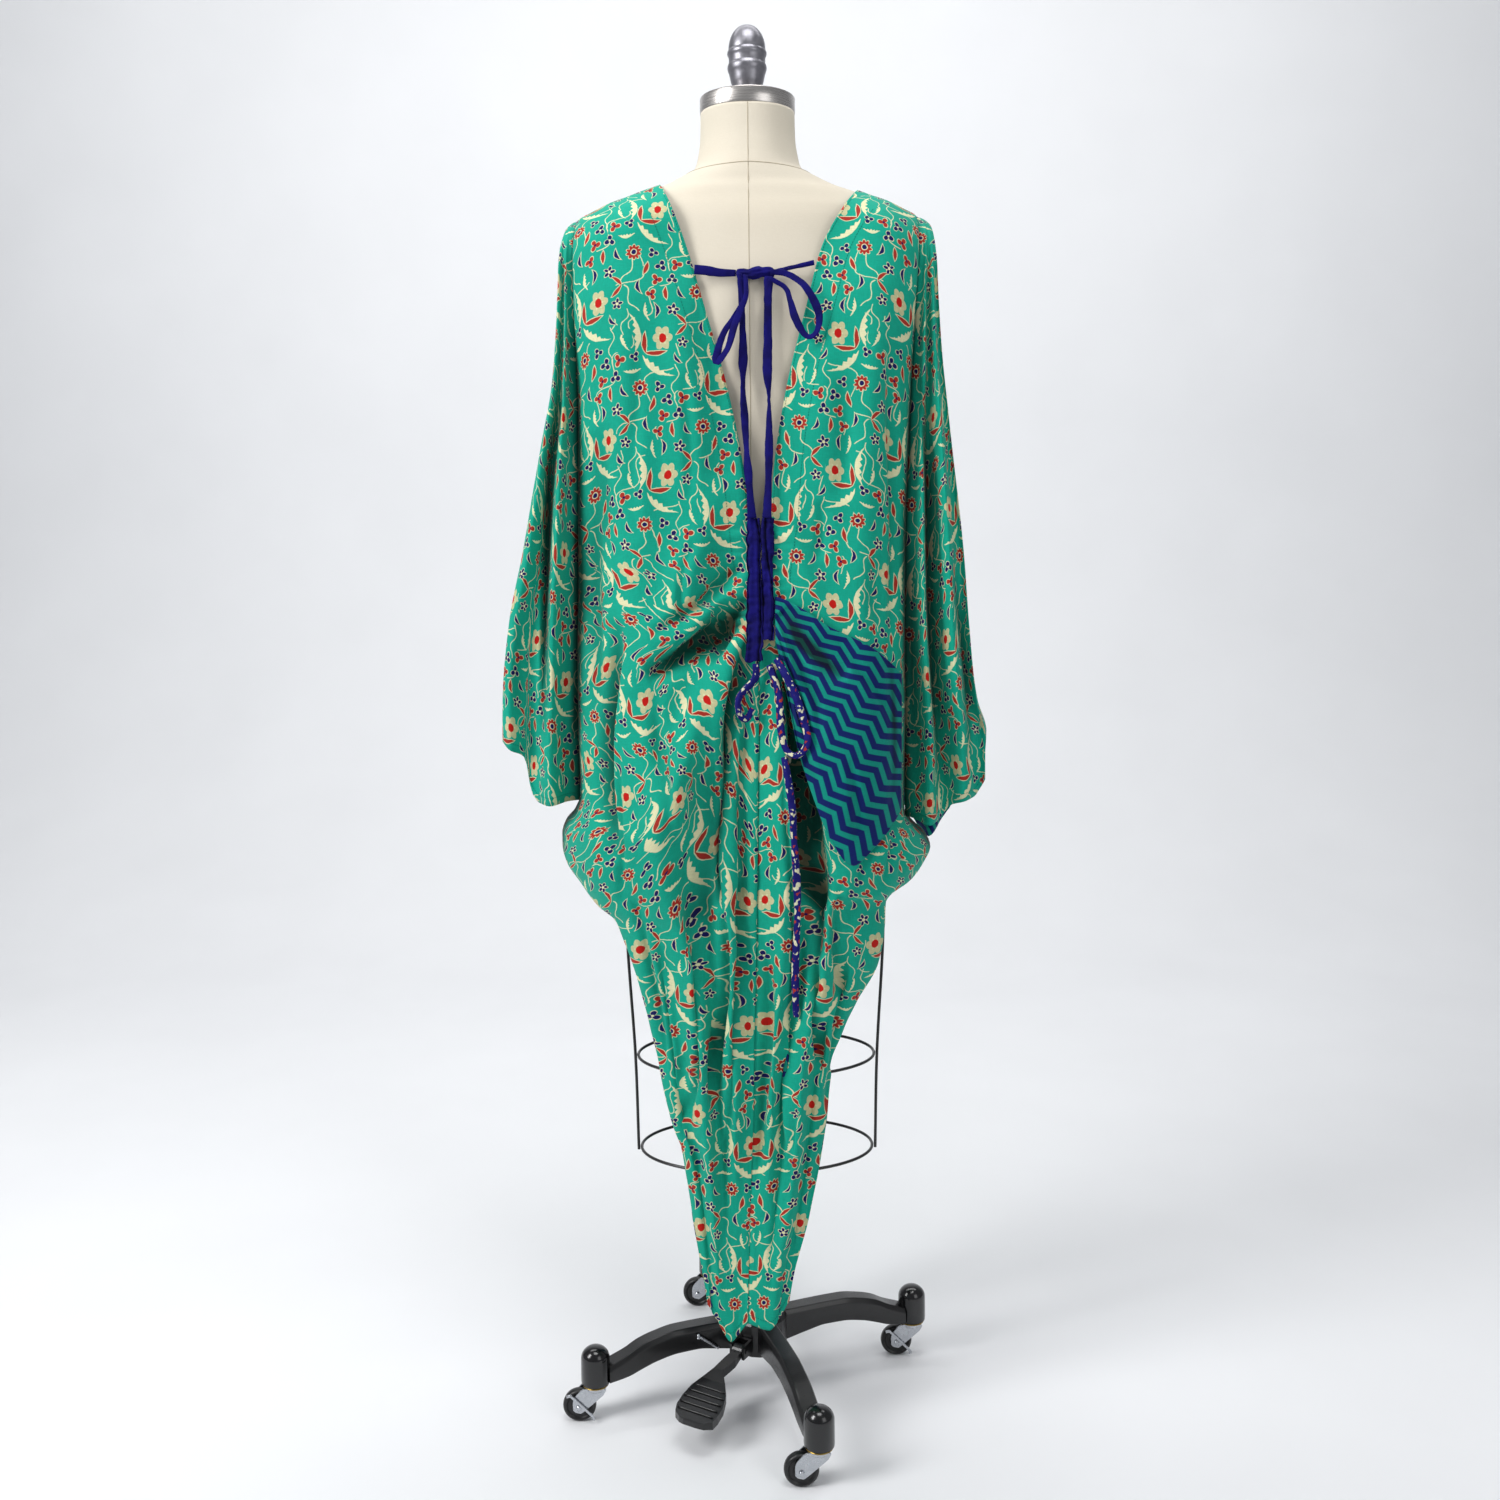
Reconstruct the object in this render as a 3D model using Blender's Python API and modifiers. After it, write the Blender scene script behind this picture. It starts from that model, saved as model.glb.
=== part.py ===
# Kaftan with a tied V back, a ruched centre back and a tulip tail, on a limbless dress form.
# Metres, +Z up. The back of the kaftan faces -Y. The floor is z = 0.
import math

import bmesh
import bpy
import numpy as np
from mathutils import Vector
from mathutils.bvhtree import BVHTree

# Driving dimensions
CLOTH = 0.0015  # wall of every cloth piece
SEAM = 0.0005  # half of the gap between two pieces that are sewn together
GAP = 0.0003  # gap where hard pieces touch
SEAT = 0.0024  # middle of the cloth above the shoulder of the form
CLEAR = 0.0022  # middle of the cloth from the form anywhere else
SLEEVE_SEAM = 0.0016  # least distance of a sleeve's back and front from its outer fold's plane
SHOULDER_ROLL = 0.060  # height over which the cloth rolls from the shoulder to the back
FORM_ROUND = 2.2  # exponent of the form's oval sections
FRAME_X = 0.0099  # shift that puts the origin under the middle of the whole
FRAME_Y = -0.0080

# Form: height, half width, depth to the back, depth to the front
FORM = (
    (1.5190, 0.0525, 0.0525, 0.0525),
    (1.4950, 0.0530, 0.0535, 0.0530),
    (1.4700, 0.0565, 0.0575, 0.0550),
    (1.4580, 0.0610, 0.0610, 0.0570),
    (1.4465, 0.0820, 0.0640, 0.0590),
    (1.4370, 0.1035, 0.0660, 0.0600),
    (1.4290, 0.1290, 0.0700, 0.0620),
    (1.4175, 0.1610, 0.0740, 0.0660),
    (1.4060, 0.1860, 0.0790, 0.0700),
    (1.3940, 0.1940, 0.0830, 0.0760),
    (1.3600, 0.1970, 0.0890, 0.0850),
    (1.3300, 0.1940, 0.0950, 0.0980),
    (1.3000, 0.1880, 0.0990, 0.1090),
    (1.2450, 0.1770, 0.1000, 0.1240),
    (1.1900, 0.1680, 0.0950, 0.1260),
    (1.1300, 0.1530, 0.0870, 0.1130),
    (1.0500, 0.1360, 0.0800, 0.0980),
    (0.9700, 0.1480, 0.0890, 0.1000),
    (0.9000, 0.1630, 0.1060, 0.1040),
    (0.8400, 0.1700, 0.1150, 0.1040),
    (0.7700, 0.1680, 0.1120, 0.1000),
    (0.7150, 0.1620, 0.1040, 0.0950),
)
FORM_COLUMNS = 24
# Shoulder seam of the kaftan: distance from the middle, height
SHOULDER = ((0.0593, 1.4560), (0.0989, 1.4405), (0.1282, 1.4315), (0.1529, 1.4235), (0.1700, 1.4155),
            (0.1851, 1.4090), (0.1973, 1.4025), (0.2040, 1.3960))

# Left back: height, outer edge x, outer edge y, inner edge x, inner edge y, crown y
BACK_LEFT = (
    (1.4420, -0.1880, -0.0450, -0.0989, -0.0860, -0.0880),
    (1.4000, -0.1890, -0.0450, -0.0810, -0.0880, -0.0930),
    (1.3600, -0.1900, -0.0450, -0.0665, -0.0920, -0.0990),
    (1.3000, -0.1900, -0.0590, -0.0490, -0.1020, -0.1110),
    (1.2080, -0.1900, -0.0620, -0.0237, -0.1030, -0.1140),
    (1.1300, -0.1915, -0.0610, -0.0085, -0.1030, -0.1120),
    (1.0630, -0.1930, -0.0600, -0.0006, -0.1070, -0.1120),
    (1.0000, -0.1940, -0.0580, 0.0040, -0.1120, -0.1160),
    (0.9200, -0.1965, -0.0560, 0.0060, -0.1180, -0.1290),
    (0.8500, -0.1985, -0.0510, 0.0060, -0.1220, -0.1420),
    (0.8000, -0.2000, -0.0420, 0.0050, -0.1260, -0.1500),
    (0.7650, -0.2005, -0.0360, 0.0042, -0.1290, -0.1525),
    (0.7450, -0.2080, -0.0300, 0.0039, -0.1300, -0.1530),
    (0.7300, -0.2190, -0.0250, 0.0037, -0.1308, -0.1520),
    (0.7150, -0.2235, -0.0230, 0.0035, -0.1310, -0.1500),
    (0.7000, -0.2235, -0.0230, 0.0032, -0.1306, -0.1480),
    (0.6820, -0.2195, -0.0260, 0.0030, -0.1300, -0.1450),
    (0.6600, -0.2030, -0.0400, 0.0025, -0.1270, -0.1410),
    (0.6400, -0.1840, -0.0560, 0.0020, -0.1250, -0.1370),
    (0.6230, -0.1600, -0.0770, 0.0016, -0.1235, -0.1350),
    (0.6080, -0.1530, -0.0830, 0.0013, -0.1220, -0.1330),
    (0.5960, -0.1485, -0.0860, 0.0010, -0.1210, -0.1310),
    (0.5520, -0.1339, -0.0880, 0.0000, -0.1180, -0.1270),
    (0.4890, -0.1193, -0.0900, -0.0020, -0.1150, -0.1220),
    (0.3940, -0.1028, -0.0920, -0.0040, -0.1110, -0.1180),
    (0.3520, -0.0890, -0.0940, -0.0060, -0.1090, -0.1150),
    (0.2480, -0.0718, -0.0960, -0.0100, -0.1060, -0.1110),
    (0.1660, -0.0602, -0.0970, -0.0125, -0.1040, -0.1080),
    (0.1200, -0.0560, -0.0970, -0.0135, -0.1030, -0.1070),
)
# Right back: the same columns
BACK_RIGHT = (
    (1.4420, 0.1860, -0.0450, 0.1290, -0.0860, -0.0880),
    (1.4000, 0.1850, -0.0450, 0.1000, -0.0880, -0.0930),
    (1.3600, 0.1840, -0.0450, 0.0780, -0.0920, -0.0990),
    (1.3000, 0.1800, -0.0590, 0.0615, -0.1020, -0.1110),
    (1.2080, 0.1755, -0.0640, 0.0380, -0.1030, -0.1140),
    (1.1300, 0.1725, -0.0650, 0.0250, -0.1030, -0.1120),
    (1.0630, 0.1705, -0.0640, 0.0195, -0.1070, -0.1120),
    (1.0000, 0.1700, -0.0620, 0.0110, -0.1120, -0.1160),
    (0.9200, 0.1705, -0.0590, 0.0075, -0.1180, -0.1290),
    (0.8500, 0.1725, -0.0530, 0.0075, -0.1220, -0.1400),
    (0.8000, 0.1730, -0.0450, 0.0065, -0.1260, -0.1460),
    (0.7600, 0.1732, -0.0400, 0.0056, -0.1290, -0.1480),
    (0.7400, 0.1745, -0.0360, 0.0053, -0.1305, -0.1475),
    (0.7250, 0.1850, -0.0300, 0.0051, -0.1310, -0.1465),
    (0.7100, 0.1990, -0.0240, 0.0048, -0.1308, -0.1455),
    (0.6950, 0.2050, -0.0230, 0.0045, -0.1300, -0.1430),
    (0.6810, 0.1985, -0.0270, 0.0041, -0.1285, -0.1405),
    (0.6620, 0.1825, -0.0420, 0.0040, -0.1270, -0.1370),
    (0.6500, 0.1560, -0.0680, 0.0038, -0.1260, -0.1355),
    (0.6420, 0.1475, -0.0800, 0.0035, -0.1250, -0.1345),
    (0.6130, 0.1454, -0.0850, 0.0030, -0.1220, -0.1310),
    (0.5750, 0.1387, -0.0870, 0.0020, -0.1190, -0.1280),
    (0.5010, 0.1050, -0.0900, -0.0005, -0.1150, -0.1220),
    (0.4340, 0.0867, -0.0920, -0.0020, -0.1120, -0.1190),
    (0.3735, 0.0775, -0.0930, -0.0040, -0.1100, -0.1160),
    (0.2773, 0.0599, -0.0950, -0.0080, -0.1070, -0.1120),
    (0.2043, 0.0411, -0.0970, -0.0100, -0.1050, -0.1090),
    (0.1200, 0.0280, -0.0970, -0.0120, -0.1030, -0.1070),
)
# Front: height, left edge x, left edge y, right edge x, right edge y, crown y
FRONT = (
    (1.4420, -0.1880, 0.0420, 0.1860, 0.0420, 0.0700),
    (1.3600, -0.1900, 0.0430, 0.1840, 0.0430, 0.0900),
    (1.3000, -0.1900, 0.0480, 0.1800, 0.0480, 0.1140),
    (1.2300, -0.1900, 0.0500, 0.1765, 0.0500, 0.1330),
    (1.1300, -0.1915, 0.0500, 0.1725, 0.0500, 0.1300),
    (1.0000, -0.1940, 0.0450, 0.1700, 0.0450, 0.1240),
    (0.9000, -0.1970, 0.0350, 0.1708, 0.0350, 0.1300),
    (0.8200, -0.1985, 0.0180, 0.1728, 0.0180, 0.1400),
    (0.7800, -0.1990, 0.0000, 0.1732, 0.0020, 0.1420),
    (0.7600, -0.2000, -0.0220, 0.1736, -0.0220, 0.1420),
    (0.7450, -0.2065, -0.0250, 0.1745, -0.0310, 0.1410),
    (0.7300, -0.2175, -0.0200, 0.1800, -0.0270, 0.1400),
    (0.7100, -0.2225, -0.0180, 0.1965, -0.0200, 0.1370),
    (0.6950, -0.2215, -0.0180, 0.2035, -0.0180, 0.1340),
    (0.6800, -0.2175, -0.0190, 0.1970, -0.0190, 0.1300),
    (0.6600, -0.1990, -0.0200, 0.1780, -0.0150, 0.1250),
    (0.6400, -0.1700, 0.0300, 0.1430, 0.0500, 0.1210),
    (0.5520, -0.1260, 0.0860, 0.1250, 0.0860, 0.1150),
    (0.4340, -0.1060, 0.0920, 0.0800, 0.0930, 0.1120),
    (0.3200, -0.0800, 0.0960, 0.0640, 0.0960, 0.1090),
    (0.1300, -0.0540, 0.0980, 0.0260, 0.0980, 0.1050),
)
# Rows of a body panel: drop below the shoulder, level height, share of the level
ROWS = (
    (0.0000, 1.400, 0.0),
    (0.0012, 1.400, 0.0),
    (0.0050, 1.400, 0.0),
    (0.0160, 1.400, 0.0),
    (0.0360, 1.390, 0.0),
    (0.0620, 1.352, 0.4),
    (0.0950, 1.318, 0.8),
)
BACK_LEVELS = (1.275, 1.225, 1.175, 1.125, 1.075, 1.030, 0.985, 0.945, 0.905, 0.865, 0.825, 0.785, 0.758,
               0.737, 0.718, 0.698, 0.680, 0.660, 0.642, 0.622, 0.590, 0.540, 0.480, 0.410, 0.340, 0.270, 0.200)
FRONT_LEVELS = (1.260, 1.190, 1.110, 1.030, 0.960, 0.890, 0.820, 0.775,
                0.745, 0.720, 0.695, 0.672, 0.640, 0.560, 0.460, 0.370, 0.280, 0.190)
BACK_COLUMNS = 12
# Columns of the front, closer together at the side seams and at the two neck points
FRONT_SHARES = (-1.0, -0.975, -0.920, -0.820, -0.680, -0.5235, -0.500, -0.460, -0.370, -0.200, 0.0,
                0.200, 0.370, 0.500, 0.600, 0.655, 0.688, 0.800, 0.900, 0.970, 1.0)

# Hems: share of the way from the centre to the outer edge, height
HEM_LEFT = ((0.0, 0.1457), (0.45, 0.1224), (0.75, 0.1424), (1.0, 0.1660))
HEM_RIGHT = ((0.0, 0.1450), (0.55, 0.1381), (0.80, 0.1528), (1.0, 0.1725))
HEM_FRONT = ((-1.0, 0.1700), (-0.5, 0.1400), (0.0, 0.1480), (0.5, 0.1430), (1.0, 0.1720))
HEM_MIDDLE = 0.146
NECK_FRONT = 0.052  # drop of the front neckline at its middle
ARMPIT = 0.950  # the sides of the front lie against the form above this height
NECK_LEFT_X = -0.0989
NECK_RIGHT_X = 0.1277

# Folds of a back panel: top, bottom, share from the centre at the top and bottom, width, depth towards the back
FOLDS_LEFT = (
    (1.330, 1.080, 0.20, 0.28, 0.12, 0.0040),
    (1.300, 0.900, 0.62, 0.66, 0.12, 0.0050),
    (1.120, 0.880, 0.12, 0.70, 0.10, 0.0080),
    (1.050, 0.800, 0.10, 0.52, 0.09, -0.0110),
    (0.960, 0.700, 0.10, 0.60, 0.11, 0.0120),
    (0.950, 0.300, 0.13, 0.24, 0.07, 0.0110),
    (0.930, 0.250, 0.27, 0.46, 0.06, -0.0130),
    (0.820, 0.180, 0.42, 0.66, 0.09, 0.0090),
    (0.700, 0.120, 0.66, 0.84, 0.05, -0.0070),
)
FOLDS_RIGHT = (
    (1.330, 1.080, 0.24, 0.30, 0.12, 0.0040),
    (1.280, 0.860, 0.66, 0.70, 0.12, 0.0050),
    (1.080, 0.940, 0.12, 0.46, 0.10, 0.0070),
    (0.960, 0.280, 0.14, 0.22, 0.08, 0.0110),
    (0.900, 0.220, 0.28, 0.42, 0.06, -0.0110),
    (0.800, 0.150, 0.48, 0.64, 0.09, 0.0080),
    (0.700, 0.140, 0.68, 0.82, 0.05, -0.0060),
)
# Folds of the front: top, bottom, share across at the top and bottom, width, depth towards the front
FOLDS_FRONT = (
    (1.240, 0.700, -0.55, -0.50, 0.10, 0.0080),
    (1.260, 0.600, 0.50, 0.46, 0.10, 0.0080),
    (1.150, 0.300, -0.28, -0.34, 0.08, -0.0060),
    (1.180, 0.200, 0.20, 0.24, 0.09, -0.0070),
    (0.960, 0.160, -0.04, -0.06, 0.09, 0.0090),
)

# Left sleeve: height, groove x, outer x, groove y at the back and front, half depth, pleat depth
SLEEVE_LEFT = (
    (1.3960, -0.1935, -0.2020, -0.0470, 0.0450, 0.0520, 0.0000),
    (1.3621, -0.1940, -0.2068, -0.0520, 0.0465, 0.0640, 0.0050),
    (1.3137, -0.1940, -0.2095, -0.0590, 0.0480, 0.0760, 0.0100),
    (1.2202, -0.1940, -0.2195, -0.0630, 0.0510, 0.0880, 0.0200),
    (1.1610, -0.1948, -0.2330, -0.0625, 0.0515, 0.0920, 0.0240),
    (1.1066, -0.1955, -0.2455, -0.0620, 0.0520, 0.0940, 0.0260),
    (1.0417, -0.1970, -0.2600, -0.0610, 0.0510, 0.0950, 0.0290),
    (0.9603, -0.1995, -0.2807, -0.0590, 0.0480, 0.0930, 0.0310),
    (0.8756, -0.2020, -0.2920, -0.0570, 0.0450, 0.0880, 0.0320),
    (0.8200, -0.2040, -0.2940, -0.0560, 0.0440, 0.0840, 0.0320),
    (0.7200, -0.2050, -0.2940, -0.0550, 0.0430, 0.0800, 0.0320),
)
SLEEVE_RIGHT = (
    (1.3960, 0.1905, 0.2020, -0.0470, 0.0450, 0.0520, 0.0000),
    (1.3608, 0.1880, 0.2045, -0.0520, 0.0465, 0.0620, 0.0050),
    (1.3290, 0.1860, 0.2060, -0.0570, 0.0480, 0.0740, 0.0100),
    (1.2543, 0.1825, 0.2125, -0.0640, 0.0510, 0.0860, 0.0200),
    (1.1786, 0.1790, 0.2225, -0.0660, 0.0520, 0.0930, 0.0260),
    (1.0335, 0.1748, 0.2428, -0.0650, 0.0510, 0.0950, 0.0300),
    (0.9552, 0.1750, 0.2505, -0.0630, 0.0480, 0.0940, 0.0320),
    (0.8642, 0.1767, 0.2629, -0.0590, 0.0450, 0.0890, 0.0330),
    (0.8281, 0.1772, 0.2738, -0.0570, 0.0440, 0.0860, 0.0330),
    (0.6900, 0.1795, 0.2745, -0.0560, 0.0430, 0.0800, 0.0330),
)
# Cuff: share from the groove to the outer fold, height of the open end at the back and at the front
CUFF_LEFT = ((0.00, 0.7570, 0.7450), (0.20, 0.7550, 0.7400), (0.30, 0.7545, 0.7430), (0.45, 0.7556, 0.7556),
             (0.56, 0.7680, 0.7800), (0.62, 0.8070, 0.7900), (0.80, 0.8190, 0.8120), (1.00, 0.8390, 0.8390))
CUFF_RIGHT = ((0.00, 0.7350, 0.7400), (0.20, 0.7280, 0.7080), (0.36, 0.7330, 0.6900), (0.50, 0.7500, 0.7050),
              (0.66, 0.7560, 0.7220), (0.76, 0.7575, 0.7600), (0.88, 0.7760, 0.7950), (1.00, 0.8245, 0.8245))
# Pleats of a sleeve: share of each crest, its width
PLEATS_LEFT = ((0.28, 0.17), (0.80, 0.16))
PLEATS_RIGHT = ((0.20, 0.13), (0.62, 0.14), (0.96, 0.09))
SLEEVE_ROWS = 15
SLEEVE_COLUMNS = 9  # on each side of the outer fold

# Swag: share from the casing to the right edge, x, height of the top edge, height of the bottom edge
SWAG = (
    (0.00, 0.0245, 0.9890, 0.9420),
    (0.12, 0.0360, 0.9850, 0.8900),
    (0.22, 0.0480, 0.9790, 0.8250),
    (0.34, 0.0640, 0.9690, 0.7720),
    (0.48, 0.0830, 0.9560, 0.7260),
    (0.62, 0.1060, 0.9450, 0.6980),
    (0.76, 0.1290, 0.9330, 0.7150),
    (0.90, 0.1510, 0.9150, 0.7350),
    (1.00, 0.1645, 0.9020, 0.7500),
)
SWAG_LIFT = 0.0048
SWAG_COLUMNS = 12
SWAG_ROWS = 12

# Casing strips: name, x at the top and bottom, height of the top and bottom, half width, gathers
CASINGS = (
    ("casing_left", 0.0024, 0.0020, 1.0717, 0.9202, 0.0078, 8),
    ("casing_right", 0.0169, 0.0163, 1.0717, 0.9427, 0.0055, 7),
)
CASING_WALL = 0.0022
CASING_RIPPLE = 0.0011
CASING_LIFT = 0.0042

# Dress stand
KNOB_BASE = 1.5363
# Knob: height above its foot, radius
KNOB = (
    (0.0000, 0.0155), (0.0040, 0.0155), (0.0070, 0.0148), (0.0180, 0.0182), (0.0270, 0.0203), (0.0305, 0.0216),
    (0.0330, 0.0220), (0.0355, 0.0214), (0.0385, 0.0205), (0.0440, 0.0207), (0.0470, 0.0220), (0.0495, 0.0219),
    (0.0520, 0.0205), (0.0580, 0.0199), (0.0660, 0.0175), (0.0720, 0.0136), (0.0765, 0.0080), (0.0787, 0.0000),
)
PLATE_RADIUS = 0.0530
PLATE_LOW = 1.5193
PLATE_HIGH = 1.5360
RING_HIGH = (0.4360, 0.1425, 0.0870)  # height, half width, half depth
RING_LOW = (0.3200, 0.1405, 0.0860)
WIRE = 0.0018  # radius of the cage's wire
CAGE_TOP_HALF_WIDTH = 0.1540
CAGE_TOP_HALF_DEPTH = 0.0960
CAGE_ANGLES = (0, 62, 118, 180, 242, 298)
AXIS = (0.0010, 0.0080)  # axis of the pole and the base
POLE_RADIUS = 0.0125
POLE_LOW = 0.1190
TUBE_BORE = 0.0130
TUBE_RADIUS = 0.0155
TUBE_TOP = 0.4200
TUBE_FOOT = 0.1150
HUB_RADIUS = 0.0340
HUB_TOP = 0.1010
HUB_LOW = 0.0560
ARM_ANGLES = {"left": 199.5, "right": 19.5, "near": 288.0, "far": 108.0}
CASTOR_REACH = 0.2100  # base axis to castor stem
ARM_HALF_WIDTH = 0.0125
# Arm: distance from the base axis, height of the top and bottom
ARM = ((0.0346, 0.0990, 0.0600), (0.0850, 0.0993, 0.0722), (0.1090, 0.0993, 0.0712), (0.1350, 0.0950, 0.0665),
       (0.1550, 0.0890, 0.0590), (0.1720, 0.0800, 0.0525), (0.1922, 0.0685, 0.0495))
CAP_RADIUS = 0.0175
CAP_LOW = 0.0480
CAP_HIGH = 0.0945
CAP_DOME = 0.0130
WHEEL_RADIUS = 0.0200
WHEEL_HALF = 0.0062
WHEEL_TRAIL = 0.0200  # castor stem to wheel axle, towards -X
WHEEL_SIDES = 20
WHEEL_EDGE = 0.0030
AXLE = 0.0030
AXLE_BORE = 0.0034
CHEEK_IN = WHEEL_HALF + 0.0010
CHEEK_OUT = CHEEK_IN + 0.0018
# Cheek of a fork: distance from the castor stem, height
CHEEK = ((-0.0270, 0.0160), (-0.0150, 0.0140), (0.0105, 0.0370), (0.0105, 0.0440), (-0.0135, 0.0440), (-0.0275, 0.0300))
CROWN_RADIUS = 0.0125
CROWN_LOW = 0.0400
LAP = 0.0002  # by which an axle passes its fork
# Brake lever of the left and right castors: distance from the castor stem, height
BRAKE = ((-0.0355, 0.0350), (-0.0310, 0.0395), (-0.0040, 0.0110), (-0.0020, 0.0050), (-0.0070, 0.0025))
BRAKE_THICK = 0.0018
PEDAL_ANGLE = 240.0
PEDAL_REACH = 0.0500  # base axis to pedal pivot
PEDAL_HEIGHT = 0.0720
PIVOT_RADIUS = 0.0075
PIVOT_HALF = 0.0065
EAR_IN = PIVOT_HALF + GAP
EAR_OUT = EAR_IN + 0.0032
BRACKET_LOW = -0.0080
BRACKET_HIGH = 0.0085
# Bracket of the pedal in plan from the pivot: outwards, sideways
BRACKET = ((-0.0152, -EAR_OUT), (0.0065, -EAR_OUT), (0.0065, -EAR_IN), (-0.0110, -EAR_IN), (-0.0110, EAR_IN),
           (0.0065, EAR_IN), (0.0065, EAR_OUT), (-0.0152, EAR_OUT))
# Pedal from the pivot: outwards, left and right side, top and bottom
PEDAL = ((-0.0045, -0.0055, 0.0055, 0.0055, -0.0055), (0.0085, -0.0060, 0.0050, 0.0010, -0.0090),
         (0.0160, -0.0110, 0.0035, -0.0040, -0.0140), (0.0300, -0.0185, -0.0055, -0.0130, -0.0230),
         (0.0460, -0.0255, 0.0070, -0.0185, -0.0285), (0.0620, -0.0300, 0.0180, -0.0210, -0.0310),
         (0.0820, -0.0300, 0.0260, -0.0230, -0.0330), (0.0990, -0.0275, 0.0285, -0.0245, -0.0345),
         (0.1100, -0.0225, 0.0285, -0.0255, -0.0350), (0.1170, -0.0130, 0.0200, -0.0262, -0.0340),
         (0.1195, -0.0060, 0.0105, -0.0268, -0.0330))
RELEASE_ROD = ((-0.0731, -0.0358, 0.0900), (-0.0498, -0.0253, 0.0690))
RELEASE_RADIUS = 0.0016
# Knot of the neck tie: radius, distance along it from its middle
KNOT = ((0.0, 0.0200), (0.0040, 0.0195), (0.0050, 0.0120), (0.0044, 0.0060), (0.0052, 0.0), (0.0044, -0.0060),
        (0.0050, -0.0120), (0.0040, -0.0195), (0.0, -0.0200))
KNOT_SPOT = (0.0065, -0.1010, 1.3303)
CORD_STEP = 6.0  # spacing of a cord's points, in radii
# Ties and drawstring: name, radius, route
CORDS = (
    ("tie_strap_left", 0.0036, ((-0.0583, -0.1019, 1.3345), (-0.0310, -0.1006, 1.3312), (-0.0141, -0.1010, 1.3305))),
    ("tie_strap_right", 0.0033, ((0.0272, -0.1010, 1.3315), (0.0434, -0.1006, 1.3354), (0.0690, -0.1000, 1.3408))),
    ("tie_tail_left", 0.0035, (
        (-0.0085, -0.1025, 1.3235), (-0.0080, -0.1045, 1.2870), (-0.0073, -0.1060, 1.2551),
        (-0.0078, -0.1070, 1.2085), (-0.0060, -0.1085, 1.1731), (-0.0042, -0.1100, 1.1363),
        (-0.0013, -0.1120, 1.1004), (0.0005, -0.1150, 1.0727))),
    ("tie_tail_right", 0.0035, (
        (0.0205, -0.1025, 1.3235), (0.0193, -0.1060, 1.2621), (0.0198, -0.1080, 1.1979),
        (0.0193, -0.1100, 1.1361), (0.0180, -0.1120, 1.1003), (0.0167, -0.1150, 1.0727))),
    ("tie_loop_left", 0.0030, (
        (-0.0105, -0.1088, 1.3290), (-0.0100, -0.1125, 1.3034), (-0.0154, -0.1125, 1.2901),
        (-0.0272, -0.1130, 1.2728), (-0.0361, -0.1140, 1.2389), (-0.0211, -0.1160, 1.2511),
        (-0.0145, -0.1160, 1.2788), (-0.0026, -0.1160, 1.3033), (-0.0040, -0.1085, 1.3270))),
    ("tie_loop_right", 0.0030, (
        (0.0225, -0.1089, 1.3300), (0.0472, -0.1120, 1.3233), (0.0650, -0.1150, 1.3058),
        (0.0734, -0.1150, 1.2852), (0.0680, -0.1150, 1.2637), (0.0585, -0.1150, 1.2638),
        (0.0480, -0.1140, 1.2824), (0.0418, -0.1120, 1.3060), (0.0215, -0.1094, 1.3235))),
    ("cord_loop_left", 0.0037, (
        (0.0034, -0.1288, 0.9165), (0.0021, -0.1268, 0.9004), (-0.0143, -0.1338, 0.8821),
        (-0.0155, -0.1352, 0.8647), (-0.0080, -0.1317, 0.8569), (-0.0003, -0.1288, 0.8678))),
    ("cord_loop_right", 0.0037, (
        (0.0255, -0.1334, 0.9221), (0.0352, -0.1418, 0.9049), (0.0468, -0.1454, 0.8801),
        (0.0563, -0.1505, 0.8477), (0.0573, -0.1535, 0.8315), (0.0465, -0.1475, 0.8186),
        (0.0347, -0.1434, 0.8252), (0.0295, -0.1382, 0.8480), (0.0276, -0.1329, 0.8846),
        (0.0180, -0.1268, 0.9150))),
    ("cord_tail", 0.0037, (
        (0.0330, -0.1430, 0.8165), (0.0355, -0.1460, 0.8010), (0.0406, -0.1480, 0.7650),
        (0.0426, -0.1492, 0.7299), (0.0446, -0.1484, 0.6958), (0.0465, -0.1378, 0.6459),
        (0.0439, -0.1282, 0.5742), (0.0447, -0.1250, 0.5210))),
)
PIPING_RADIUS = 0.0012
PIPING_LIFT = 0.0028  # middle of the piping from the middle of the cloth
PIPING_DEPTH = 0.0010


def clear_scene():
    for item in list(bpy.data.objects):
        bpy.data.objects.remove(item, do_unlink=True)


def new_collection(name):
    group = bpy.data.collections.new(name)
    bpy.context.scene.collection.children.link(group)
    return group


def material(name, red, green, blue, roughness, metallic=0.0):
    item = bpy.data.materials.new(name)
    item.use_nodes = True
    shader = item.node_tree.nodes["Principled BSDF"]
    shader.inputs["Base Color"].default_value = (red, green, blue, 1.0)
    shader.inputs["Roughness"].default_value = roughness
    shader.inputs["Metallic"].default_value = metallic
    return item


def add_object(name, data, finish):
    item = bpy.data.objects.new(name, data)
    item.data.materials.append(finish)
    part.objects.link(item)
    item.parent = origin
    return item


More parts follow.
